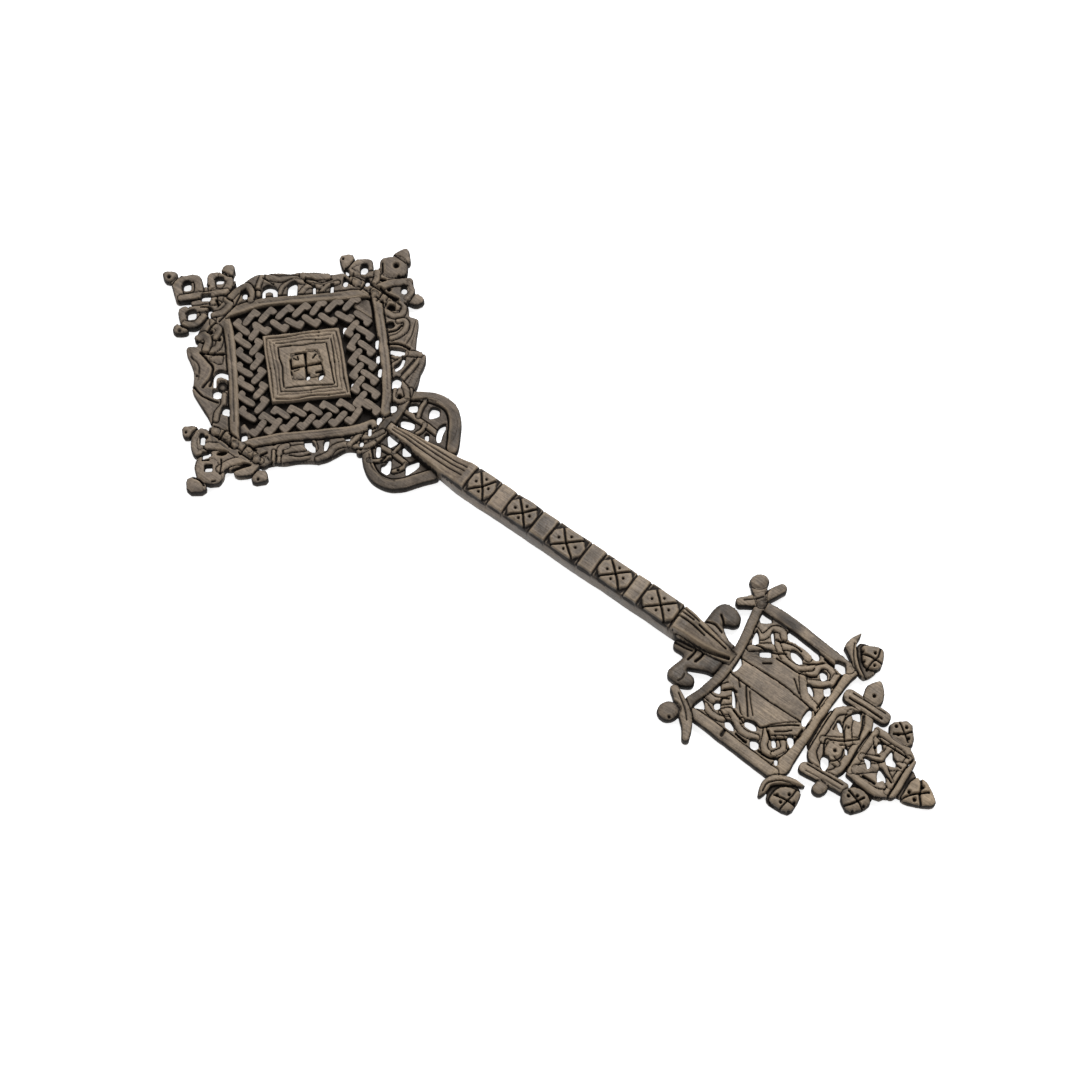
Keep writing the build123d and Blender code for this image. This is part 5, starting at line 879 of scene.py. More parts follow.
def carveRosette(cut):
    plate(seen((-11.4, -179), (3.6, -179), (2.4, -184), (-0.4, -188.4), (-10, -188.4), (-11.2, -184)), 3.2)
    plate(seen((4, -165.4), (11.4, -167.6), (14, -172), (11.4, -176), (4, -176.6)), 3.2)
    plate(seen((-21, -167.4), (-14, -167), (-14, -177), (-21, -177.6)), 3.2)
    plate(seen((-13.4, -162.2), (6.8, -161), (9, -164), (10, -170), (10.3, -177.5), (5.9, -181.6), (-14.6, -182.8), (-18.4, -180.6), (-17.4, -170), (-15.6, -164)), 4.7, cuts=1, walled=True)
    strap(seen((-14, -164.2), (-14.6, -170), (-14.6, -177), (-12.6, -181)), 3.2, 5.3)
    strap(seen((7.6, -163), (8, -170), (7.8, -177), (5.6, -180.8)), 3.0, 5.3)
    strap(seen((-13, -163.8), (-4, -163.6), (6.2, -163)), 2.8, 5.2)
    strap(seen((-12, -180.6), (-4, -180.4), (5, -180)), 2.2, 5.0)
    strap(seen((-11.4, -165.4), (-6, -171.4), (-1.4, -176.6), (0.6, -180)), 3.6, 5.0, grow=False)
    strap(seen((4, -165.4), (-1, -170.6), (-4.6, -174.6), (-8.6, -180)), 3.2, 5.1, grow=False)
    strap(seen((-5.6, -164.6), (-3.2, -169.6), (0.6, -171.6), (4.6, -171.8)), 3.0, 5.0, grow=False)
    for points, width, depth in (
        (seen((-5.6, -165.3), (-4.5, -168), (-2.8, -171.8), (-0.5, -172.8), (3.3, -173.4)), 1.0, 2.2),
        (seen((-5.8, -173.5), (-6.5, -177), (-7.5, -179.9)), 1.1, 2.2),
        (seen((5, -164.8), (4.9, -172), (4.9, -180)), 0.9, 1.7),
        (seen((0, -175.6), (-0.3, -180)), 0.8, 1.5),
        (seen((-12, -169.2), (-11.9, -174.6)), 1.3, 2.6),
        (seen((-1.9, -168.4), (-1.2, -170)), 0.8, 1.8),
        (seen((3.2, -166.6), (4.6, -169)), 0.9, 1.6),
    ):
        groove(points, width, depth)
    pit(seen((1, -166.4))[0], 1.0, 2.8)
    for points in (
        seen((-6.2, -166), (-5.6, -167), (-5.5, -169.3), (-8.2, -169.6), (-8.7, -169), (-7, -167.6)),
        seen((-0.2, -168.1), (2.5, -167.5), (3.4, -168.7), (2.5, -169.4), (-0.7, -169.2)),
        seen((-6.6, -173.6), (-6.5, -174.8), (-8.1, -178.2), (-9, -178.1), (-8.9, -176.7), (-10.9, -175.5), (-10.4, -174.8)),
        seen((-2, -173.4), (2.8, -173.4), (2.6, -174.3), (0.6, -175.3), (-0.3, -178), (-1.1, -178), (-2.1, -175.5)),
    ):
        pierce(points, cuts=1)
    dome(seen((-30.2, -173.8), (-27, -168.2), (-22.6, -165.9), (-18, -167.6), (-16.6, -172), (-17.6, -176), (-20.8, -179.3), (-25, -178.4)), cut["bud"], 0.9, cuts=1, walled=True)
    for centre in ((-22.4, -169.2), (-26.9, -173.8), (-20.4, -172), (-22.6, -176.4)):
        pit(seen(centre)[0], 0.9, 2.2)
    groove(seen((-27.4, -169.4), (-24.4, -172), (-19.4, -174.6)), 1.2, 2.1)
    groove(seen((-20.4, -168), (-22, -173.2), (-24.4, -177.4)), 1.1, 2.0)
    dome(seen((8.4, -168.2), (13.4, -164.9), (19.8, -172.2), (11.6, -178.8), (8.4, -176.4)), cut["bud"], 0.9, cuts=1)
    for centre in ((13.4, -168.4), (15.4, -172.1), (12, -175.4), (11, -171)):
        pit(seen(centre)[0], 0.9, 2.4)
    groove(seen((10.2, -169.4), (12.8, -173), (15.2, -174.8)), 1.1, 2.0)
    groove(seen((15.6, -168.8), (12.8, -173), (10.6, -176)), 0.9, 1.6)
    dome(seen((-15, -182.1), (5.4, -181.2), (6.1, -183.3), (3.3, -184.9), (-11.7, -186), (-15, -184.8)), cut["bar"], 0.6, cuts=1, walled=True)
    groove(seen((-13.4, -181.9), (-8, -181.6), (0, -181.4), (5, -181.8)), 0.9, 1.8)
    dome(seen((-12.4, -186.4), (-12.9, -190), (-10.3, -196), (-7.8, -200), (-5, -200.2), (-1.7, -196.6), (1.8, -190.8), (0, -186)), cut["bud"], 0.9, cuts=1, walled=True)
    groove(seen((-11.4, -186.6), (-8.4, -188.4), (-5.6, -190.8), (-2.4, -194.4)), 1.3, 2.2)
    groove(seen((0.9, -188.6), (-2, -190.8), (-5.5, -192.2), (-8.6, -194.8)), 1.3, 2.2)
    for centre in ((-6.8, -188), (-2, -191.4), (-8.2, -191.4)):
        pit(seen(centre)[0], 1.2, 2.6)


carveBorders(headCut)
carveTopFinial()
carveLeftFinial()
carveRightFinial()
carveNeck(neckCut)
carveFrame(headCut)
carvePanel(headCut)
carveCollars(headCut)
pierceNeck()
carveBase(footCut)
carveCurls()
carveBaseBars(footCut)
carveLowerCross(footCut)
carveRosette(footCut)
carveHandle(handleCut)
print("board carved")

# ---- finish the drawing: hand-cut unevenness, then the outline sampled into cells
smoke += 0.22 * softNoise(16.0, 31) + 0.22 * softNoise(6.0, 32) + 0.16 * softNoise(2.6, 33)
for points, amount, reach in (             # where handling and smoke left it darker, or rubbing left it paler
    (((-27, 50), (-27, 82), (25, 82), (25, 50)), 0.75, 4.0),
    (((-5.4, 46), (-3.6, 78), (2, 78), (3.6, 46)), -1.25, 1.4),
    (((-8, -97), (-9, -70), (-8, 40), (6, 40), (6, -70), (3, -97)), 0.4, 1.0),
    (((-7, 17), (-7, 23), (5, 23), (5, 17)), -0.7, 1.4),
    (((-7, -50), (-7, -45), (5, -45), (5, -50)), -0.7, 1.4),
    (((1, -101), (8.6, -101), (9, -113), (2, -113)), 0.75, 2.0),
    (((-19, -112), (-10, -103), (-9, -113)), 0.4, 2.0),
    (((-9, -122), (-5, -137), (0, -137), (0, -124)), 0.3, 2.0),
    (((-25, -78), (-10, -73), (-7.4, -96), (-25, -92)), 0.75, 2.0),
    (((6, -79), (18, -79), (16, -93), (6.4, -92)), 1.1, 1.6),
    (((-32, -92), (28, -92), (28, -99), (-32, -99)), 0.7, 2.0),
    (((-42, -84), (-31, -84), (-31, -94), (-42, -96)), 0.6, 2.0),
    (((20, -84), (37, -84), (37, -99), (26, -96)), 0.4, 2.0),
    (((21, -100), (29, -100), (27, -136), (21, -136)), 0.4, 1.6),
    (((21.6, -102), (27.6, -102), (27, -113), (21.6, -113)), 0.5, 1.2),
    (((22.4, -115), (26.4, -115), (26, -119), (22.6, -119)), -0.8, 1.2),
    (((-33, -114.6), (-28, -114.6), (-28, -111.4), (-33, -111.4)), 0.5, 1.2),
    (((-16, -120), (-9.6, -120), (-10, -128), (-15, -126)), -0.35, 2.0),
    (((-22, 124.8), (0.6, 148), (22, 124.8), (0.6, 101.6)), -1.0, 1.6),
    (((-34, -138), (22, -138), (22, -144), (-34, -144)), -0.7, 1.6),
    (((-12, -194), (2, -194), (-5, -201)), -0.5, 2.0),
    (((-50, 106), (-50, 140), (-22, 172), (20, 172), (50, 138), (50, 108), (32, 84), (18, 80), (-18, 80)), 0.45, 3.0),
    (((-16, 160), (-16, 173), (18, 172), (18, 160)), 0.25, 3.0),
    (((46, 108), (46, 134), (72, 130), (72, 110)), 0.4, 5.0),
    (((-19, 172), (-22, 184), (22, 184), (19, 172)), 0.3, 3.0),
    (((-45, -140), (-32, -140), (-31, -156), (-45, -156)), 0.35, 1.6),
    (((23, -136), (39, -136), (39, -150), (24, -150)), 0.35, 1.6),
    (((-31, -165), (-18, -165), (-18, -180), (-31, -180)), 0.4, 1.6),
    (((10, -165), (19, -165), (19, -179), (10, -179)), 0.45, 1.6),
):
    shade(smoke, seen(*points), amount, reach)
# painted shade in two recesses
shade(recessShade, seen((34.6, 104.6), (38.4, 104), (39.6, 107), (37, 109.4), (34.4, 108.4)), 0.4, 1.0)
shade(recessShade, seen((-30.2, 145.6), (-28, 149.4), (-25.4, 147), (-28, 144.6)), 0.25, 0.8)
heights += 0.10 * softNoise(4.5, 21) + 0.05 * softNoise(1.5, 22) + 0.05 * softNoise(0.9, 23, stretch=9.0)
heights = np.maximum(heights, 0.9)
edge = np.clip(board["round"] - solid, 0, board["round"])
heights -= board["round"] - np.sqrt(np.maximum(board["round"] ** 2 - edge ** 2, 0))
heights = np.clip(heights, 0.7, 12.38)

labelNames = sorted(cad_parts)


def nodeCells():                           # which node of the frame lies under each cell
    label = np.full((countX - 1, countY - 1), -1)
    for number, name in enumerate(labelNames):
        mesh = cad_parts[name].data
        mesh.calc_loop_triangles()
        co = np.empty(len(mesh.vertices) * 3)
        mesh.vertices.foreach_get("co", co)
        co = co.reshape(-1, 3) / mm
        tris = np.empty(len(mesh.loop_triangles) * 3, int)
        mesh.loop_triangles.foreach_get("vertices", tris)
        corners = co[tris.reshape(-1, 3)]
        faceZ = np.cross(corners[:, 1] - corners[:, 0], corners[:, 2] - corners[:, 0])[:, 2]
        for a, b, c in corners[faceZ > 1e-6][:, :, :2]:
            low, high = np.minimum(np.minimum(a, b), c), np.maximum(np.maximum(a, b), c)
            i0, i1 = int((low[0] - board["left"]) / step - 0.5), int((high[0] - board["left"]) / step + 0.5) + 1
            j0, j1 = int((low[1] - board["low"]) / step - 0.5), int((high[1] - board["low"]) / step + 0.5) + 1
            i, j = np.arange(max(i0, 0), i1), np.arange(max(j0, 0), j1)
            x = board["left"] + (i + 0.5)[:, None] * step
            y = board["low"] + (j + 0.5)[None, :] * step
            d1 = (b[0] - a[0]) * (y - a[1]) - (b[1] - a[1]) * (x - a[0])
            d2 = (c[0] - b[0]) * (y - b[1]) - (c[1] - b[1]) * (x - b[0])
            d3 = (a[0] - c[0]) * (y - c[1]) - (a[1] - c[1]) * (x - c[0])
            hit = (d1 >= 0) & (d2 >= 0) & (d3 >= 0)
            part = label[i[0]:i[-1] + 1, j[0]:j[-1] + 1]
            part[hit] = number
    return label


def shifted(array, di, dj, fill):
    out = np.full_like(array, fill)
    n, m = array.shape
    out[max(0, -di):n - max(0, di), max(0, -dj):m - max(0, dj)] = array[max(0, di):n - max(0, -di), max(0, dj):m - max(0, -dj)]
    return out


aroundFour = ((1, 0), (-1, 0), (0, 1), (0, -1))
aroundEight = aroundFour + ((1, 1), (-1, -1), (1, -1), (-1, 1))

label = nodeCells()
while (label < 0).any():                   # cells beyond every node take the nearest one
    for di, dj in aroundFour:
        near = shifted(label, di, dj, -1)
        label = np.where(label < 0, near, label)

kept = (solid[:-1, :-1] + solid[1:, :-1] + solid[:-1, 1:] + solid[1:, 1:]) > 0
for _ in range(3):
    count = sum(shifted(kept.astype(int), di, dj, 0) for di, dj in aroundEight)
    kept &= count > 2


def largestParts(mask, least):             # drops crumbs that hold on to nothing
    number = np.where(mask, np.arange(mask.size).reshape(mask.shape) + 1, 0)
    for turn in range(4000):
        before = number.sum()
        for di, dj in aroundFour:
            number = np.where(mask, np.maximum(number, shifted(number, di, dj, 0)), 0)
        for axis in (0, 1):
            for flip in (False, True):
                work = np.flip(number, axis) if flip else number
                gate = np.flip(mask, axis) if flip else mask
                for k in range(1, work.shape[axis]):
                    here = (slice(k, k + 1), slice(None)) if axis == 0 else (slice(None), slice(k, k + 1))
                    there = (slice(k - 1, k), slice(None)) if axis == 0 else (slice(None), slice(k - 1, k))
                    work[here] = np.where(gate[here], np.maximum(work[here], np.where(gate[there], work[there], 0)), 0)
        if number.sum() == before:
            break
    ids, sizes = np.unique(number[number > 0], return_counts=True)
    print("loose parts of the board:", sorted(sizes.tolist(), reverse=True)[:8])
    return mask & np.isin(number, ids[sizes >= least])


kept = largestParts(kept, 4000)
label = np.where(kept, label, -1)

for _ in range(4):                         # straighten ragged seams
    same = sum((shifted(label, di, dj, -2) == label).astype(int) for di, dj in aroundEight)
    weak = kept & (same <= 3)
    best, choice = np.full(label.shape, -1), label.copy()
    for di, dj in aroundFour:
        near, nearSame = shifted(label, di, dj, -1), shifted(same, di, dj, -1)
        better = weak & (near >= 0) & (near != label) & (nearSame > best)
        choice[better], best[better] = near[better], nearSame[better]
    label = choice

for _ in range(12):                        # no two cells of one piece may meet at a corner alone
    a, b, c, d = label[:-1, :-1], label[1:, :-1], label[:-1, 1:], label[1:, 1:]
    cross = (a == d) & (a != b) & (a != c) & (a >= 0)
    other = (b == c) & (b != a) & (b != d) & (b >= 0)
    if not (cross.any() or other.any()):
        break
    i, j = np.nonzero(cross)
    label[i + 1, j] = label[i, j]
    a, b, c, d = label[:-1, :-1], label[1:, :-1], label[:-1, 1:], label[1:, 1:]
    i, j = np.nonzero((b == c) & (b != a) & (b != d) & (b >= 0))
    label[i, j] = label[i + 1, j]
kept = label >= 0
print("cells", int(kept.sum()))

# corners of the cells: those on the outline move onto it, those on seams are evened out
inner = np.zeros(gridX.shape, int)
different = np.zeros(gridX.shape, bool)
labelWide = np.full((countX + 1, countY + 1), -1)
labelWide[1:-1, 1:-1] = label
quads = [labelWide[:-1, :-1], labelWide[1:, :-1], labelWide[:-1, 1:], labelWide[1:, 1:]]
for quad in quads:
    inner += quad >= 0
for quad in quads[1:]:
    different |= quad != quads[0]
onOutline = (inner > 0) & (inner < 4)
onSeam = (inner == 4) & different
placeX, placeY = gridX.copy(), gridY.copy()
slopeX, slopeY = np.gradient(solid, step)
steep = np.maximum(np.hypot(slopeX, slopeY), 0.35)


def valueAt(array, x, y):
    u = np.clip((x - board["left"]) / step, 0, countX - 1.001)
    v = np.clip((y - board["low"]) / step, 0, countY - 1.001)
    i, j = u.astype(int), v.astype(int)
    fu, fv = u - i, v - j
    return ((array[i, j] * (1 - fu) + array[i + 1, j] * fu) * (1 - fv)
            + (array[i, j + 1] * (1 - fu) + array[i + 1, j + 1] * fu) * fv)


def toOutline(mask, limit):
    x, y = placeX[mask], placeY[mask]
    level = valueAt(solid, x, y)
    sx, sy, s = valueAt(slopeX, x, y), valueAt(slopeY, x, y), valueAt(steep, x, y)
    move = np.clip(level / s, -limit, limit)
    placeX[mask] = x - move * sx / s
    placeY[mask] = y - move * sy / s


def even(mask, share):
    weight = mask.astype(float)
    total = sum(shifted(weight, di, dj, 0.0) for di, dj in aroundFour)
    meanX = sum(shifted(weight * placeX, di, dj, 0.0) for di, dj in aroundFour) / np.maximum(total, 1)
    meanY = sum(shifted(weight * placeY, di, dj, 0.0) for di, dj in aroundFour) / np.maximum(total, 1)
    use = mask & (total >= 2)
    placeX[use] = placeX[use] * (1 - share) + meanX[use] * share
    placeY[use] = placeY[use] * (1 - share) + meanY[use] * share


for _ in range(3):
    toOutline(onOutline, 0.6 * step)
    even(onOutline, 0.5)
toOutline(onOutline, 0.5 * step)
for _ in range(4):
    even(onSeam, 0.5)
nextRing = (inner == 4) & ~onSeam & (sum(shifted(onOutline.astype(int), di, dj, 0) for di, dj in aroundEight) > 0)
freeX = sum(shifted(placeX, di, dj, 0.0) for di, dj in aroundFour) / 4
freeY = sum(shifted(placeY, di, dj, 0.0) for di, dj in aroundFour) / 4
placeX, placeY = np.where(nextRing, freeX, placeX), np.where(nextRing, freeY, placeY)
topZ = valueAt(heights, placeX, placeY)
topZ = np.where(onOutline, np.maximum(topZ, 0.9), topZ)


def blurred(array, reach):
    size = max(1, int(reach / step))
    for _ in range(2):
        for axis in (0, 1):
            total = np.cumsum(array, axis)
            pad = [(0, 0), (0, 0)]
            pad[axis] = (size + 1, size)
            total = np.pad(total, pad, mode="edge")
            low = [slice(None), slice(None)]
            high = [slice(None), slice(None)]
            low[axis], high[axis] = slice(0, -2 * size - 1), slice(2 * size + 1, None)
            total[tuple([slice(0, size + 1) if k == axis else slice(None) for k in (0, 1)])] = 0
            array = (total[tuple(high)] - total[tuple(low)]) / (2 * size + 1)
    return array


woodShare = (solid > 0).astype(float)
closeness = np.clip(blurred(woodShare, 2.4), 0, 1)
wide = blurred(woodShare, 1.5)
meanHeight = blurred(heights * woodShare, 1.5) / np.maximum(wide, 0.05)
wideSmall = blurred(woodShare, 0.6)
meanSmall = blurred(heights * woodShare, 0.6) / np.maximum(wideSmall, 0.05)
# painted shade with dark patina: recesses and low floors darken by how far they lie below the wood around them and by
# their depth; raised ridges go below zero and are rubbed pale
depthShade = np.clip((3.7 - heights) / 1.6, 0, 1) * (solid > 0.2)
shadeAndWear = np.clip(0.7 * (meanHeight - heights) + 0.9 * (meanSmall - heights) + 0.75 * depthShade + recessShade, -1.5, 2.0)
shadeAndWearAt = valueAt(shadeAndWear, placeX, placeY)
smokeAt = np.clip(valueAt(smoke, placeX, placeY), -1, 1)
closeAt = valueAt(closeness, placeX, placeY)
print("relief sampled")


def slotOf(name):
    if name.startswith(("handle", "left_curl", "right_curl")):
        return "handle_wood"
    if name.startswith(("head", "top_", "left_f", "right_f", "neck", "left_l", "right_l")):
        return "head_wood"
    return "base_wood"


def buildPiece(number, name):
    mine = label == number
    if not mine.any():
        print("NO CELLS for", name)
        return None
    used = np.zeros(gridX.shape, bool)
    used[:-1, :-1] |= mine
    used[1:, :-1] |= mine
    used[:-1, 1:] |= mine
    used[1:, 1:] |= mine
    ids = np.full(gridX.shape, -1)
    count = int(used.sum())
    ids[used] = np.arange(count)
    x, y, z = placeX[used], placeY[used], topZ[used]
    outline = onOutline[used]
    sx, sy, s = slopeX[used], slopeY[used], np.maximum(np.hypot(slopeX[used], slopeY[used]), 0.35)
    inset = np.where(outline, board["wallInset"], 0.0)
    bottom = np.stack([x + inset * sx / s, y + inset * sy / s, np.zeros(count)], 1)
    top = np.stack([x, y, z], 1)
    middleIds = np.full(count, -1)
    middleIds[outline] = 2 * count + np.arange(int(outline.sum()))
    middle = np.stack([x[outline], y[outline], np.full(int(outline.sum()), board["wallFoot"])], 1)
    shadeAndWearTop = shadeAndWearAt[used]
    if name.startswith("handle"):          # its leaning sides get almost none of the painted recess shade that their low height would bring
        sideTop = 0.76 * np.interp(y, handleCut["alongs"], handleCut["tops"])
        shadeAndWearTop = np.where(z < sideTop, np.minimum(shadeAndWearTop, 0.1), shadeAndWearTop)
    close = closeAt[used]
    # painted shade on the walls, darker where the wood crowds round them, as in narrow openings
    gapShade = np.clip((close - 0.5) * 3.0, 0.0, 1.6)
    attribute = np.concatenate([shadeAndWearTop, gapShade, gapShade[outline]])
    wallness = np.concatenate([np.zeros(count), np.ones(count), np.ones(int(outline.sum()))])
    i, j = np.nonzero(mine)
    a, b, c, d = ids[i, j], ids[i + 1, j], ids[i + 1, j + 1], ids[i, j + 1]
    tops = np.stack([a, b, c, d], 1)
    bottoms = np.stack([a, d, c, b], 1) + count
    faces = tops.tolist() + bottoms.tolist()
    flat = [False] * len(tops) + [True] * len(tops)
    wide = labelWide
    for (di, dj), (start, end) in (((0, -1), ((0, 0), (1, 0))), ((1, 0), ((1, 0), (1, 1))), ((0, 1), ((1, 1), (0, 1))), ((-1, 0), ((0, 1), (0, 0)))):
        near = wide[i + 1 + di, j + 1 + dj]
        for kind in ("outline", "seam"):
            pick = (near < 0) if kind == "outline" else ((near >= 0) & (near != number))
            p = ids[i[pick] + start[0], j[pick] + start[1]]
            q = ids[i[pick] + end[0], j[pick] + end[1]]
            if kind == "outline":
                mp, mq = middleIds[p], middleIds[q]
                faces += np.stack([p, mp, mq, q], 1).tolist()
                faces += np.stack([mp, p + count, q + count, mq], 1).tolist()
                flat += [False] * (2 * len(p))
            else:
                for u, v in zip(p.tolist(), q.tolist()):
                    side = [u]
                    if middleIds[u] >= 0:
                        side.append(int(middleIds[u]))
                    side += [u + count, v + count]
                    if middleIds[v] >= 0:
                        side.append(int(middleIds[v]))
                    faces.append(side + [v])
                flat += [True] * len(p)
    points = np.concatenate([top, bottom, middle]) * mm
    mesh = bpy.data.meshes.new("carved_" + name)
    mesh.from_pydata(points.tolist(), [], faces)
    mesh.polygons.foreach_set("use_smooth", [not f for f in flat])
    smokeTop = smokeAt[used]
    smokeAll = np.concatenate([smokeTop, smokeTop, smokeTop[outline]])
    for title, values in (("shadeAndWear", attribute), ("wall", wallness), ("smoke", smokeAll)):
        mesh.attributes.new(title, "FLOAT", "POINT").data.foreach_set("value", values.astype(np.float32))
    mesh.update()
    piece = bpy.data.objects.new("carved_" + name, mesh)
    bpy.context.scene.collection.objects.link(piece)
    return piece


# ---- braids: a geometry-nodes row of hooked cords for each strand
braidCut = {                               # rows of cords: middle and step from the head's centre, and how many
    "upper_left": (("outer", (-16.1, 18.8), (5.17, 4.5), 7), ("inner", (-11.7, 14.3), (5.15, 4.62), 6)),
    "upper_right": (("outer", (20.9, 17.4), (5.1, -5.07), 7), ("inner", (16.8, 12.9), (5.02, -5.0), 6)),
    "lower_right": (("outer", (19.1, -20.9), (-5.15, -4.75), 7), ("inner", (15.2, -17.1), (-4.95, -4.62), 6)),
    "lower_left": (("outer", (-19.2, -17.5), (4.7, -4.97), 7), ("inner", (-9.9, -18.4), (4.8, -5.12), 6), ("inner", (-26.6, -3.6), (0, 0), 1)),
    "length": {"outer": 9.4, "inner": 8.8}, "width": 3.0,
    "foot": 1.0, "top": 5.2,
    "hook": 3.0,
    "shift": 0.3, "turn": 0.1,             # unevenness, mm and radians
}


def cordShape(strand, cut, side):          # one hooked cord, standing along Y, rounded above
    half, reach = cut["width"] / 2, cut["length"][strand] / 2
    outline = [(-half, -reach), (half, -reach), (half, reach - cut["width"]), (half + cut["hook"] * 0.45, reach - cut["width"] + 0.1),
               (half + cut["hook"] * 0.6, reach - 0.3), (half * 0.3, reach), (-half * 0.8, reach - 0.2)]
    outline = [(x * side, y) for x, y in outline[::side]]
    ring = cutCorners(outline, 2)
    middle = ring.mean(0)
    verts, faces = [], []
    layers = ((1.04, cut["foot"]), (1.0, cut["top"] - 1.5), (0.93, cut["top"] - 0.7), (0.78, cut["top"] - 0.2))
    for share, z in layers:
        spread = np.clip(0.5 * cut["width"] * (1 - share), 0, None)
        inward = middle - ring
        inward = inward / np.maximum(np.linalg.norm(inward, axis=1), 0.01)[:, None]
        verts += [(p[0], p[1], z) for p in ring + inward * spread]
    n = len(ring)
    for k in range(len(layers) - 1):
        faces += [(k * n + i, k * n + (i + 1) % n, (k + 1) * n + (i + 1) % n, (k + 1) * n + i) for i in range(n)]
    faces += [tuple(reversed(range(n))), tuple((len(layers) - 1) * n + i for i in range(n))]
    mesh = bpy.data.meshes.new(strand + "Cord")
    mesh.from_pydata([tuple(np.array(v) * mm) for v in verts], [], faces)
    for polygon in mesh.polygons:
        polygon.use_smooth = len(polygon.vertices) == 4
    mesh.update()
    return bpy.data.objects.new(strand + "Cord", mesh)


def addNode(tree, kind, values=None, links=None, **settings):
    node = tree.nodes.new(kind)
    for key, value in settings.items():
        setattr(node, key, value)
    for key, value in (values or {}).items():
        node.inputs[key].default_value = value
    for key, source in (links or {}).items():
        tree.links.new(source, node.inputs[key])
    return node


def strandTree():
    tree = bpy.data.node_groups.new("braidStrand", "GeometryNodeTree")
    face = tree.interface
    face.new_socket("Geometry", in_out="INPUT", socket_type="NodeSocketGeometry")
    for title, kind in (("Cord", "NodeSocketObject"), ("Count", "NodeSocketInt"), ("Start", "NodeSocketVector"), ("Pitch", "NodeSocketVector"),
                        ("Angle", "NodeSocketFloat"), ("Shift", "NodeSocketFloat"), ("Turn", "NodeSocketFloat"), ("Seed", "NodeSocketInt"), ("Wood", "NodeSocketMaterial")):
        face.new_socket(title, in_out="INPUT", socket_type=kind)
    face.new_socket("Geometry", in_out="OUTPUT", socket_type="NodeSocketGeometry")
    given = addNode(tree, "NodeGroupInput")
    row = addNode(tree, "GeometryNodeMeshLine", links={"Count": given.outputs["Count"], "Start Location": given.outputs["Start"], "Offset": given.outputs["Pitch"]}, mode="OFFSET")
    low = addNode(tree, "ShaderNodeVectorMath", {1: (-1, -1, -0.5)}, {0: given.outputs["Shift"]}, operation="MULTIPLY")
    high = addNode(tree, "ShaderNodeVectorMath", {1: (1, 1, 0.5)}, {0: given.outputs["Shift"]}, operation="MULTIPLY")
    stray = addNode(tree, "FunctionNodeRandomValue", links={"Min": low.outputs[0], "Max": high.outputs[0], "Seed": given.outputs["Seed"]}, data_type="FLOAT_VECTOR")
    moved = addNode(tree, "GeometryNodeSetPosition", links={"Geometry": row.outputs[0], "Offset": stray.outputs[0]})
    lowTurn = addNode(tree, "ShaderNodeMath", {1: -1.0}, {0: given.outputs["Turn"]}, operation="MULTIPLY")
    swing = addNode(tree, "FunctionNodeRandomValue", links={2: lowTurn.outputs[0], 3: given.outputs["Turn"], "Seed": given.outputs["Seed"]}, data_type="FLOAT")
    turned = addNode(tree, "ShaderNodeMath", links={0: given.outputs["Angle"], 1: swing.outputs[1]}, operation="ADD")
    spin = addNode(tree, "ShaderNodeCombineXYZ", links={"Z": turned.outputs[0]})
    cord = addNode(tree, "GeometryNodeObjectInfo", links={"Object": given.outputs["Cord"]})
    placed = addNode(tree, "GeometryNodeInstanceOnPoints", links={"Points": moved.outputs[0], "Instance": cord.outputs["Geometry"], "Rotation": spin.outputs[0]})
    real = addNode(tree, "GeometryNodeRealizeInstances", links={0: placed.outputs[0]})
    painted = addNode(tree, "GeometryNodeSetMaterial", links={"Geometry": real.outputs[0], "Material": given.outputs["Wood"]})
    addNode(tree, "NodeGroupOutput", links={"Geometry": painted.outputs[0]})
    return tree


def growMesh(name, tree, settings):        # runs a tree once and keeps its mesh
    holder = bpy.data.objects.new(name + "Holder", bpy.data.meshes.new(name + "Holder"))
    bpy.context.scene.collection.objects.link(holder)
    modifier = holder.modifiers.new("grow", "NODES")
    modifier.node_group = tree
    for item in tree.interface.items_tree:
        if item.in_out == "INPUT" and item.name in settings:
            modifier[item.identifier] = settings[item.name]
    bpy.context.view_layer.update()
    mesh = bpy.data.meshes.new_from_object(holder.evaluated_get(bpy.context.evaluated_depsgraph_get()))
    holder.modifiers.remove(modifier)
    bpy.data.objects.remove(holder)
    mesh.name = name
    return mesh


# ---- materials
def linearFrom(code):
    parts = [int(code[k:k + 2], 16) / 255 for k in (1, 3, 5)]
    return tuple(p / 12.92 if p <= 0.04045 else ((p + 0.055) / 1.055) ** 2.4 for p in parts) + (1.0,)


# the darkest colour is painted shade with dark patina for the recesses; the wall colour is painted shade on the side
# walls
woodColours = {
    "head": "#7b6e61", "grip": "#7a6c5e", "foot": "#8b7c6b", "tip": "#9f8a70",
    "worn": "#a39078", "recessShade": "#130c07", "wall": "#463e36", "smoke": "#4a4138",
}


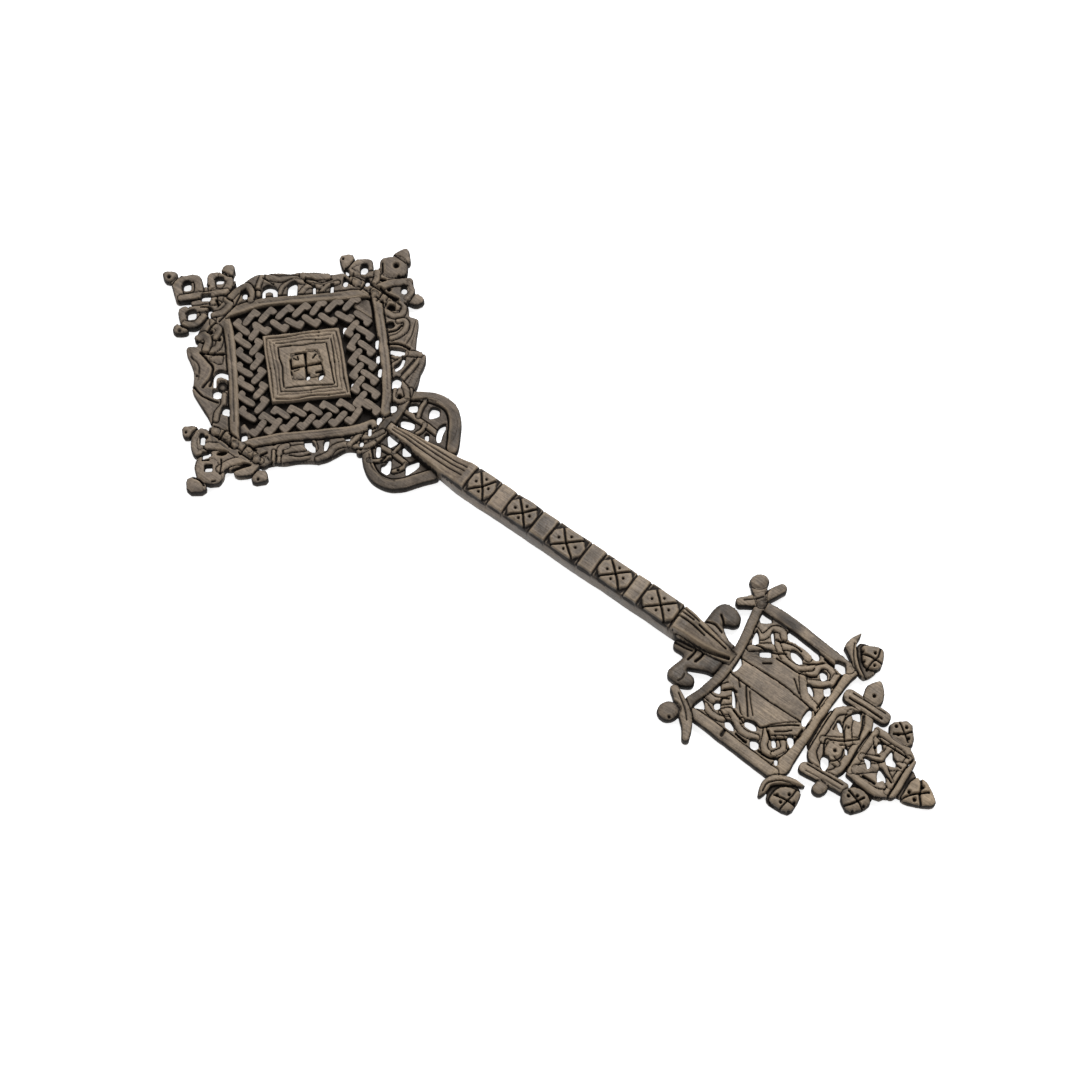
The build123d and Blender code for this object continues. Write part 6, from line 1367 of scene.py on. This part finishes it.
def carvedWood(name, roughness, wear, side=0.55, fibreWidth=0.7, fibreLength=14.0):
    # carved hardwood, stained by smoke and handling and rubbed pale on the ridges; painted shade with dark patina in
    # the hollows, and painted shade on the side walls
    material = bpy.data.materials.new(name)
    material.use_nodes = True
    tree = material.node_tree
    tree.nodes.clear()
    place = addNode(tree, "ShaderNodeTexCoord").outputs["Object"]
    axes = addNode(tree, "ShaderNodeSeparateXYZ", links={0: place})
    shadeAndWearNode = addNode(tree, "ShaderNodeAttribute", attribute_name="shadeAndWear")
    wallNode = addNode(tree, "ShaderNodeAttribute", attribute_name="wall")
    ramp = addNode(tree, "ShaderNodeMapRange", {"From Min": -0.2, "From Max": 0.2}, {"Value": axes.outputs["Y"]})
    along = addNode(tree, "ShaderNodeValToRGB", links={0: ramp.outputs[0]})
    stops = along.color_ramp.elements
    stops[0].position, stops[0].color = 0.0, linearFrom(woodColours["tip"])
    stops[1].position, stops[1].color = 1.0, linearFrom(woodColours["head"])
    for position, key in ((0.04, "foot"), (0.42, "foot"), (0.5, "grip"), (0.62, "grip"), (0.72, "head")):
        stop = stops.new(position)
        stop.color = linearFrom(woodColours[key])
    stretched = addNode(tree, "ShaderNodeMapping", {"Scale": (1 / fibreWidth / mm, 1 / fibreLength / mm, 0.4 / mm)}, {"Vector": place})
    fibres = addNode(tree, "ShaderNodeTexNoise", {"Scale": 1.0, "Detail": 4.0, "Roughness": 0.62}, {"Vector": stretched.outputs[0]})
    patches = addNode(tree, "ShaderNodeTexNoise", {"Scale": 1 / (9 * mm), "Detail": 3.0, "Roughness": 0.55}, {"Vector": place})
    specks = addNode(tree, "ShaderNodeTexNoise", {"Scale": 1 / (1.1 * mm), "Detail": 3.0, "Roughness": 0.7}, {"Vector": place})
    fibreTone = addNode(tree, "ShaderNodeMapRange", {"From Min": 0.36, "From Max": 0.66, "To Min": 0.66, "To Max": 1.26}, {"Value": fibres.outputs[0]})
    patchTone = addNode(tree, "ShaderNodeMapRange", {"From Min": 0.36, "From Max": 0.64, "To Min": 0.78, "To Max": 1.18}, {"Value": patches.outputs[0]})
    speckTone = addNode(tree, "ShaderNodeMapRange", {"From Min": 0.36, "From Max": 0.64, "To Min": 0.8, "To Max": 1.16}, {"Value": specks.outputs[0]})
    tone = addNode(tree, "ShaderNodeMath", links={0: fibreTone.outputs[0], 1: patchTone.outputs[0]}, operation="MULTIPLY")
    tone = addNode(tree, "ShaderNodeMath", links={0: tone.outputs[0], 1: speckTone.outputs[0]}, operation="MULTIPLY")
    smokeNode = addNode(tree, "ShaderNodeAttribute", attribute_name="smoke")
    smoked = addNode(tree, "ShaderNodeMix", {7: linearFrom(woodColours["smoke"])}, {"Factor": smokeNode.outputs["Fac"], 6: along.outputs[0]}, data_type="RGBA")
    paleShare = addNode(tree, "ShaderNodeMath", {1: -0.6}, {0: smokeNode.outputs["Fac"]}, operation="MULTIPLY", use_clamp=True)
    paled = addNode(tree, "ShaderNodeMix", {7: linearFrom(woodColours["worn"])}, {"Factor": paleShare.outputs[0], 6: smoked.outputs[2]}, data_type="RGBA")
    base = addNode(tree, "ShaderNodeMix", {"Factor": 1.0}, data_type="RGBA", blend_type="MULTIPLY")
    tree.links.new(paled.outputs[2], base.inputs[6])
    tree.links.new(tone.outputs[0], base.inputs[7])
    ridge = addNode(tree, "ShaderNodeMapRange", {"From Min": -0.15, "From Max": -0.85, "To Min": 0.0, "To Max": wear}, {"Value": shadeAndWearNode.outputs["Fac"]})
    rubbed = addNode(tree, "ShaderNodeMix", {7: linearFrom(woodColours["worn"])}, {"Factor": ridge.outputs[0], 6: base.outputs[2]}, data_type="RGBA")
    # painted shade on the side walls, as strong as side says
    sideShadeTone = addNode(tree, "ShaderNodeMath", {1: side}, {0: wallNode.outputs["Fac"]}, operation="MULTIPLY")
    sideShaded = addNode(tree, "ShaderNodeMix", {7: linearFrom(woodColours["wall"])}, {"Factor": sideShadeTone.outputs[0], 6: rubbed.outputs[2]}, data_type="RGBA")
    # painted shade with dark patina in the recesses, following the recess attribute
    recessShadeAndGrime = addNode(tree, "ShaderNodeMapRange", {"From Min": 0.0, "From Max": 0.62, "To Min": 0.0, "To Max": 0.97}, {"Value": shadeAndWearNode.outputs["Fac"]})
    dark = addNode(tree, "ShaderNodeMix", {7: linearFrom(woodColours["recessShade"])}, {"Factor": recessShadeAndGrime.outputs[0], 6: sideShaded.outputs[2]}, data_type="RGBA")
    gloss = addNode(tree, "ShaderNodeMapRange", {"From Min": 0.3, "From Max": 0.7, "To Min": roughness - 0.08, "To Max": roughness + 0.1}, {"Value": patches.outputs[0]})
    gloss = addNode(tree, "ShaderNodeMath", {1: 0.3}, {0: recessShadeAndGrime.outputs[0], 2: gloss.outputs[0]}, operation="MULTIPLY_ADD", use_clamp=True)
    lift = addNode(tree, "ShaderNodeMath", {1: 0.6}, {0: specks.outputs[0]}, operation="MULTIPLY")
    lift = addNode(tree, "ShaderNodeMath", links={0: lift.outputs[0], 1: fibres.outputs[0]}, operation="ADD")
    relief = addNode(tree, "ShaderNodeBump", {"Strength": 0.8, "Distance": 0.3 * mm}, {"Height": lift.outputs[0]})
    shader = addNode(tree, "ShaderNodeBsdfPrincipled", {"IOR": 1.5, "Specular IOR Level": 0.35}, {"Base Color": dark.outputs[2], "Roughness": gloss.outputs[0], "Normal": relief.outputs[0]})
    addNode(tree, "ShaderNodeOutputMaterial", links={"Surface": shader.outputs[0]})
    return material


woods = {
    "head_wood": carvedWood("agedCarvedWoodHead", 0.58, 0.45),
    # the grip's side walls get no painted side shade
    "handle_wood": carvedWood("handledCarvedWoodGrip", 0.46, 0.6, side=0.0),
    "base_wood": carvedWood("agedCarvedWoodFoot", 0.54, 0.55),
}

pieces = {}
for number, name in enumerate(labelNames):
    piece = buildPiece(number, name)
    if piece is None:
        continue
    piece.data.materials.append(woods[slotOf(name)])
    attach(piece, "root")
    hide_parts(name)
    pieces[name] = piece
print("pieces carved:", len(pieces))


def addBraids(cut):
    cords = {strand: cordShape(strand, cut, side) for strand, side in (("outer", 1), ("inner", -1))}
    for cord in cords.values():
        bpy.context.scene.collection.objects.link(cord)
    tree = strandTree()
    cx, cy = headCut["centre"]
    angles = {"upper_left": 0.0, "upper_right": -math.pi / 2, "lower_right": math.pi, "lower_left": math.pi / 2}
    for seed, (side, angle) in enumerate(angles.items()):
        parts = []
        for strand, (x, y), (px, py), count in cut[side]:
            twist = 0.0 if strand == "outer" else -math.pi / 2
            x, y = cx + x - px * (count - 1) / 2, cy + y - py * (count - 1) / 2
            parts.append(growMesh("strand", tree, {
                "Cord": cords[strand], "Count": count, "Start": (x * mm, y * mm, 0.0), "Pitch": (px * mm, py * mm, 0.0),
                "Angle": angle + twist, "Shift": cut["shift"] * mm, "Turn": cut["turn"], "Seed": seed * 7 + len(parts), "Wood": woods["head_wood"]}))
        joined = bpy.data.meshes.new("braidCords_" + side)
        verts, faces = [], []
        for mesh in parts:
            offset = len(verts)
            verts += [tuple(v.co) for v in mesh.vertices]
            faces += [tuple(i + offset for i in p.vertices) for p in mesh.polygons]
        joined.from_pydata(verts, [], faces)
        for polygon in joined.polygons:
            polygon.use_smooth = len(polygon.vertices) == 4
        tops = np.array([v[2] for v in verts]) / mm
        # painted shade with dark patina, darkening towards each cord's foot; the cord tops go below zero and are rubbed
        # pale
        joined.attributes.new("shadeAndWear", "FLOAT", "POINT").data.foreach_set("value", np.interp(tops, (1.0, 3.4, 4.8, 5.2), (1.6, 0.7, -0.1, -0.35)).astype(np.float32))
        joined.attributes.new("smoke", "FLOAT", "POINT").data.foreach_set("value", np.full(len(verts), 0.25, np.float32))
        joined.attributes.new("wall", "FLOAT", "POINT").data.foreach_set("value", np.zeros(len(verts), np.float32))
        joined.materials.append(woods["head_wood"])
        joined.update()
        piece = bpy.data.objects.new("braidCords_" + side, joined)
        bpy.context.scene.collection.objects.link(piece)
        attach(piece, "root")
        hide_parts("head_braid_" + side)
    for cord in cords.values():
        bpy.data.objects.remove(cord)


addBraids(braidCut)
print("braids laid")


# ---- floor and light
def floorMaterial():
    # matt white paper: keeps the soft shadow, and shows white to the camera
    material = bpy.data.materials.new("mattWhitePaper")
    material.use_nodes = True
    tree = material.node_tree
    tree.nodes.clear()
    diffuse = addNode(tree, "ShaderNodeBsdfDiffuse", {"Color": (0.82, 0.82, 0.82, 1)})
    path = addNode(tree, "ShaderNodeLightPath")
    shown = addNode(tree, "ShaderNodeMath", links={0: path.outputs["Is Camera Ray"], 1: path.outputs["Is Glossy Ray"]}, operation="ADD", use_clamp=True)
    shown = addNode(tree, "ShaderNodeMath", links={0: shown.outputs[0], 1: path.outputs["Is Transmission Ray"]}, operation="ADD", use_clamp=True)
    amount = addNode(tree, "ShaderNodeMath", {1: 0.8}, {0: shown.outputs[0]}, operation="MULTIPLY")
    glow = addNode(tree, "ShaderNodeEmission", {"Color": (1, 1, 1, 1)}, {"Strength": amount.outputs[0]})
    both = addNode(tree, "ShaderNodeAddShader", links={0: diffuse.outputs[0], 1: glow.outputs[0]})
    addNode(tree, "ShaderNodeOutputMaterial", links={"Surface": both.outputs[0]})
    return material


def addFloor(half=1.6):
    mesh = bpy.data.meshes.new("studioFloor")
    mesh.from_pydata([(-half, -half, -0.0002), (half, -half, -0.0002), (half, half, -0.0002), (-half, half, -0.0002)], [], [(0, 1, 2, 3)])
    mesh.materials.append(floorMaterial())
    floor = bpy.data.objects.new("studioFloor", mesh)
    bpy.context.scene.collection.objects.link(floor)


lightSet = {
    "keyPlace": (0.75, 0.15, 1.05), "keySize": 0.6, "keyPower": 14.5,
    "fillPlace": (-0.5, 0.7, 0.9), "fillSize": 1.2, "fillPower": 2.5,
    "world": 0.3,
}


def addLights(settings):
    for name in ("key", "fill"):
        data = bpy.data.lights.new(name + "Light", "AREA")
        data.size = settings[name + "Size"]
        data.energy = settings[name + "Power"]
        lamp = bpy.data.objects.new(name + "Light", data)
        lamp.location = settings[name + "Place"]
        lamp.rotation_euler = (-Vector(settings[name + "Place"])).to_track_quat("-Z", "Y").to_euler()
        bpy.context.scene.collection.objects.link(lamp)
    world = bpy.data.worlds.new("softStudio")
    bpy.context.scene.world = world
    world.use_nodes = True
    tree = world.node_tree
    tree.nodes.clear()
    path = addNode(tree, "ShaderNodeLightPath")
    strength = addNode(tree, "ShaderNodeMapRange", {"To Min": settings["world"], "To Max": 1.0}, {"Value": path.outputs["Is Camera Ray"]})
    sky = addNode(tree, "ShaderNodeBackground", {"Color": (1, 1, 1, 1)}, {"Strength": strength.outputs[0]})
    addNode(tree, "ShaderNodeOutputWorld", links={"Surface": sky.outputs[0]})
    bpy.context.scene.view_settings.view_transform = "Standard"


addFloor()
addLights(lightSet)
print("floor and lights set")
